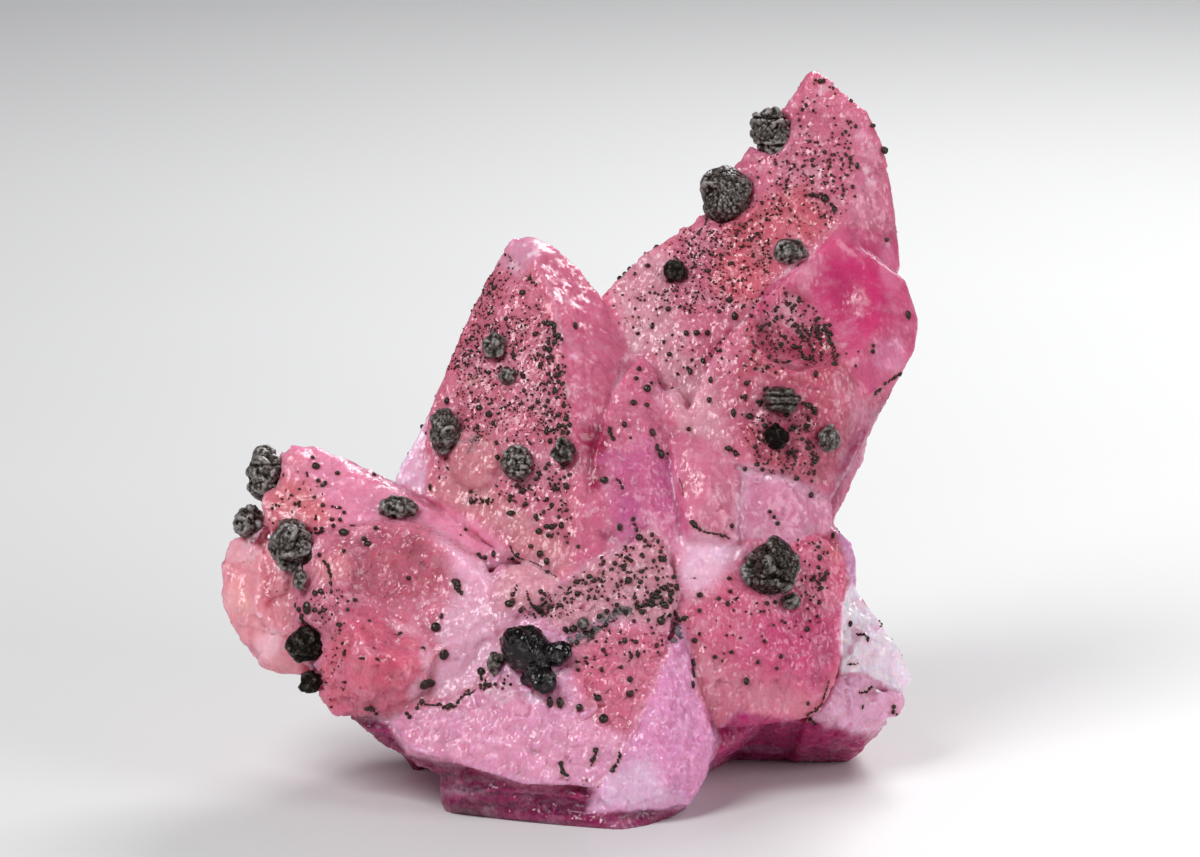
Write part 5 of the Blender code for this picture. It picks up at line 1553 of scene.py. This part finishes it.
def seat_pellets(name, pellets, tree, balls, material, flat=PELLET_FLAT):
    """One joined mesh of pellets on the faces that the camera sees at their places."""
    pieces, places = [], []
    for seed, (across, rise, width, height) in enumerate(pellets):
        spot, normal = sight(tree, across, rise)
        if spot is None:
            continue
        pieces.append(pellet_mesh(spot, normal, width, height, seed, balls, flat))
        places.append((spot, max(width, height) / 2))
    points, triangles = joined(pieces)
    piece = mesh_object(name, points, triangles, material)
    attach(piece, "root")
    return places


def back_pellets(points, triangles, balls, material, random):
    """Pellets on the sides and the back, which the photograph doesn't show, more where faces look up."""
    middles, face = triangle_faces(points, triangles)
    area = np.linalg.norm(face, axis=1)
    normals = face / np.maximum(area, 1e-12)[:, None]
    away = smooth_step(-0.05, 0.25, normals @ FORWARD)
    clumps = smooth_step(0.05, 0.6, cloud_noise(middles, 7.0, SEEDS["back_clumps"]))
    weight = area * away * clumps
    weight *= smooth_step(5.0, 12.0, middles[:, 2]) * smooth_step(-0.6, 0.4, normals[:, 2])
    chosen = random.choice(len(weight), BACK_PELLETS, p=weight / weight.sum())
    pieces, places = [], []
    for seed, n in enumerate(chosen):
        width = 0.16 + 0.34 * random.random() ** 2.5
        height = width * random.uniform(0.8, 1.2)
        pieces.append(pellet_mesh(middles[n], normals[n], width, height, seed, balls))
        places.append((middles[n], width / 2))
    piece = mesh_object("pellets_back", *joined(pieces), material)
    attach(piece, "root")
    return places


def build_pellets(points, triangles, material, film_material):
    """All the pellets, specks, veins and film, and the places that they stain."""
    tree = face_tree(points, triangles)
    balls = {detail: unit_ball(detail) for detail in (1, 2, 3)}
    random = np.random.default_rng(SEEDS["pellets"])
    places = []
    for group, zones in PELLET_ZONES.items():
        pellets = [pellet for zone in zones for pellet in zone_pellets(zone, random)]
        places += seat_pellets("pellets_" + group, pellets, tree, balls, material)
        places += seat_pellets("specks_" + group, SPECKS[group], tree, balls, material, SPECK_FLAT)
    veins = [pellet for vein in VEINS for pellet in vein_pellets(vein, random)]
    places += seat_pellets("veins", veins, tree, balls, material, VEIN_FLAT)
    film = [
        (across + random.normal(0.0, FILM_SPREAD) * radius, rise + random.normal(0.0, FILM_SPREAD) * radius,
         size, size * 0.8)
        for across, rise, radius in FILM for size in random.uniform(*FILM_WIDTHS, FILM_GRAINS)
    ]
    seat_pellets("film", film, tree, balls, film_material, FILM_FLAT)
    places += back_pellets(points, triangles, balls, material, random)
    return places


# The stage

# Lights: where each stands, its sides in millimetres and its power
LIGHTS = {
    "key": ((-170.0, -210.0, 290.0), (180.0, 180.0), 1.12),
    "fill": ((260.0, -160.0, 140.0), (160.0, 200.0), 0.42),
    "rim": ((120.0, 260.0, 220.0), (200.0, 140.0), 0.9),
}
# The point that the lights look at, and half the side of the floor, in millimetres
LIT_MIDDLE = (0.0, 0.0, 28.0)
FLOOR_HALF = 2500.0


def area_light(name, place_mm, aim_mm, size_mm, power):
    light = bpy.data.lights.new(name, "AREA")
    light.shape = "RECTANGLE"
    light.size, light.size_y = (side * MM for side in size_mm)
    light.energy = power
    lamp = bpy.data.objects.new(name, light)
    bpy.context.scene.collection.objects.link(lamp)
    place, aim = Vector(place_mm) * MM, Vector(aim_mm) * MM
    lamp.location = place
    lamp.rotation_euler = (aim - place).to_track_quat("-Z", "Y").to_euler()


def build_stage():
    material, graph = new_material("floor")
    shader = graph.nodes["Principled BSDF"]
    place = graph.nodes.new("ShaderNodeTexCoord").outputs["Object"]
    tone = noise_node(graph, place, 90.0, 2.0)
    color = ramp_node(graph, tone.outputs["Fac"], [(0.3, gray(0.74)), (0.7, gray(0.76))])
    graph.links.new(color.outputs["Color"], shader.inputs["Base Color"])
    shader.inputs["Roughness"].default_value = 0.45
    corners = [(x * FLOOR_HALF, y * FLOOR_HALF, 0.0) for x, y in ((-1, -1), (1, -1), (1, 1), (-1, 1))]
    floor = mesh_object("floor", corners, [[0, 1, 2, 3]], material, smooth=False)
    for name, (place_mm, size_mm, power) in LIGHTS.items():
        area_light(name, place_mm, LIT_MIDDLE, size_mm, power)
    world = bpy.data.worlds.new("studio")
    world.use_nodes = True
    world.node_tree.nodes["Background"].inputs["Color"].default_value = (0.92, 0.94, 1.0, 1.0)
    world.node_tree.nodes["Background"].inputs["Strength"].default_value = 0.16
    bpy.context.scene.world = world
    bpy.context.scene.view_settings.view_transform = "Standard"


def build_camera():
    data = bpy.data.cameras.new("camera")
    data.sensor_width = SENSOR
    data.lens = SENSOR * CAMERA_DISTANCE / (PHOTO_SIZE[0] * PIXEL)
    data.clip_start = 0.05
    data.clip_end = 20.0
    camera = bpy.data.objects.new("camera", data)
    camera.location = Vector(EYE) * MM
    camera.rotation_euler = (radians(90.0) - LEAN, 0.0, 0.0)
    bpy.context.scene.collection.objects.link(camera)
    bpy.context.scene.camera = camera


build_camera()
build_stage()
calcite, calcite_points, calcite_triangles = build_calcite(calcite_material())
# The nodules' tones run from black in the hollows, as painted shade, through brown to a light gray on the
# high spots, as a painted highlight
nodule_oxide = oxide_material(
    "nodule_oxide", [(0.006, 0.004, 0.003, 1.0), (0.036, 0.024, 0.017, 1.0), (0.250, 0.226, 0.222, 1.0)],
    0.20, 0.40, 0.28, 0.08, True)
glossy_oxide = oxide_material(
    "glossy_oxide", [(0.002, 0.001, 0.001, 1.0), (0.006, 0.004, 0.004, 1.0), (0.150, 0.140, 0.142, 1.0)],
    0.05, 0.22, 0.5, 0.03)
pellet_oxide = oxide_material(
    "pellet_oxide", [(0.006, 0.003, 0.002, 1.0), (0.026, 0.014, 0.009, 1.0), (0.060, 0.050, 0.046, 1.0)],
    0.20, 0.38, 0.2, 0.03)
film_oxide = oxide_material(
    "film_oxide", [(0.06, 0.05, 0.055, 1.0), (0.13, 0.11, 0.12, 1.0), (0.36, 0.32, 0.35, 1.0)],
    0.14, 0.34, 0.3, 0.05)
build_nodules(nodule_oxide, glossy_oxide)
stained = build_pellets(calcite_points, calcite_triangles, pellet_oxide, film_oxide)
tint_calcite(calcite, calcite_points, calcite_triangles, stained)
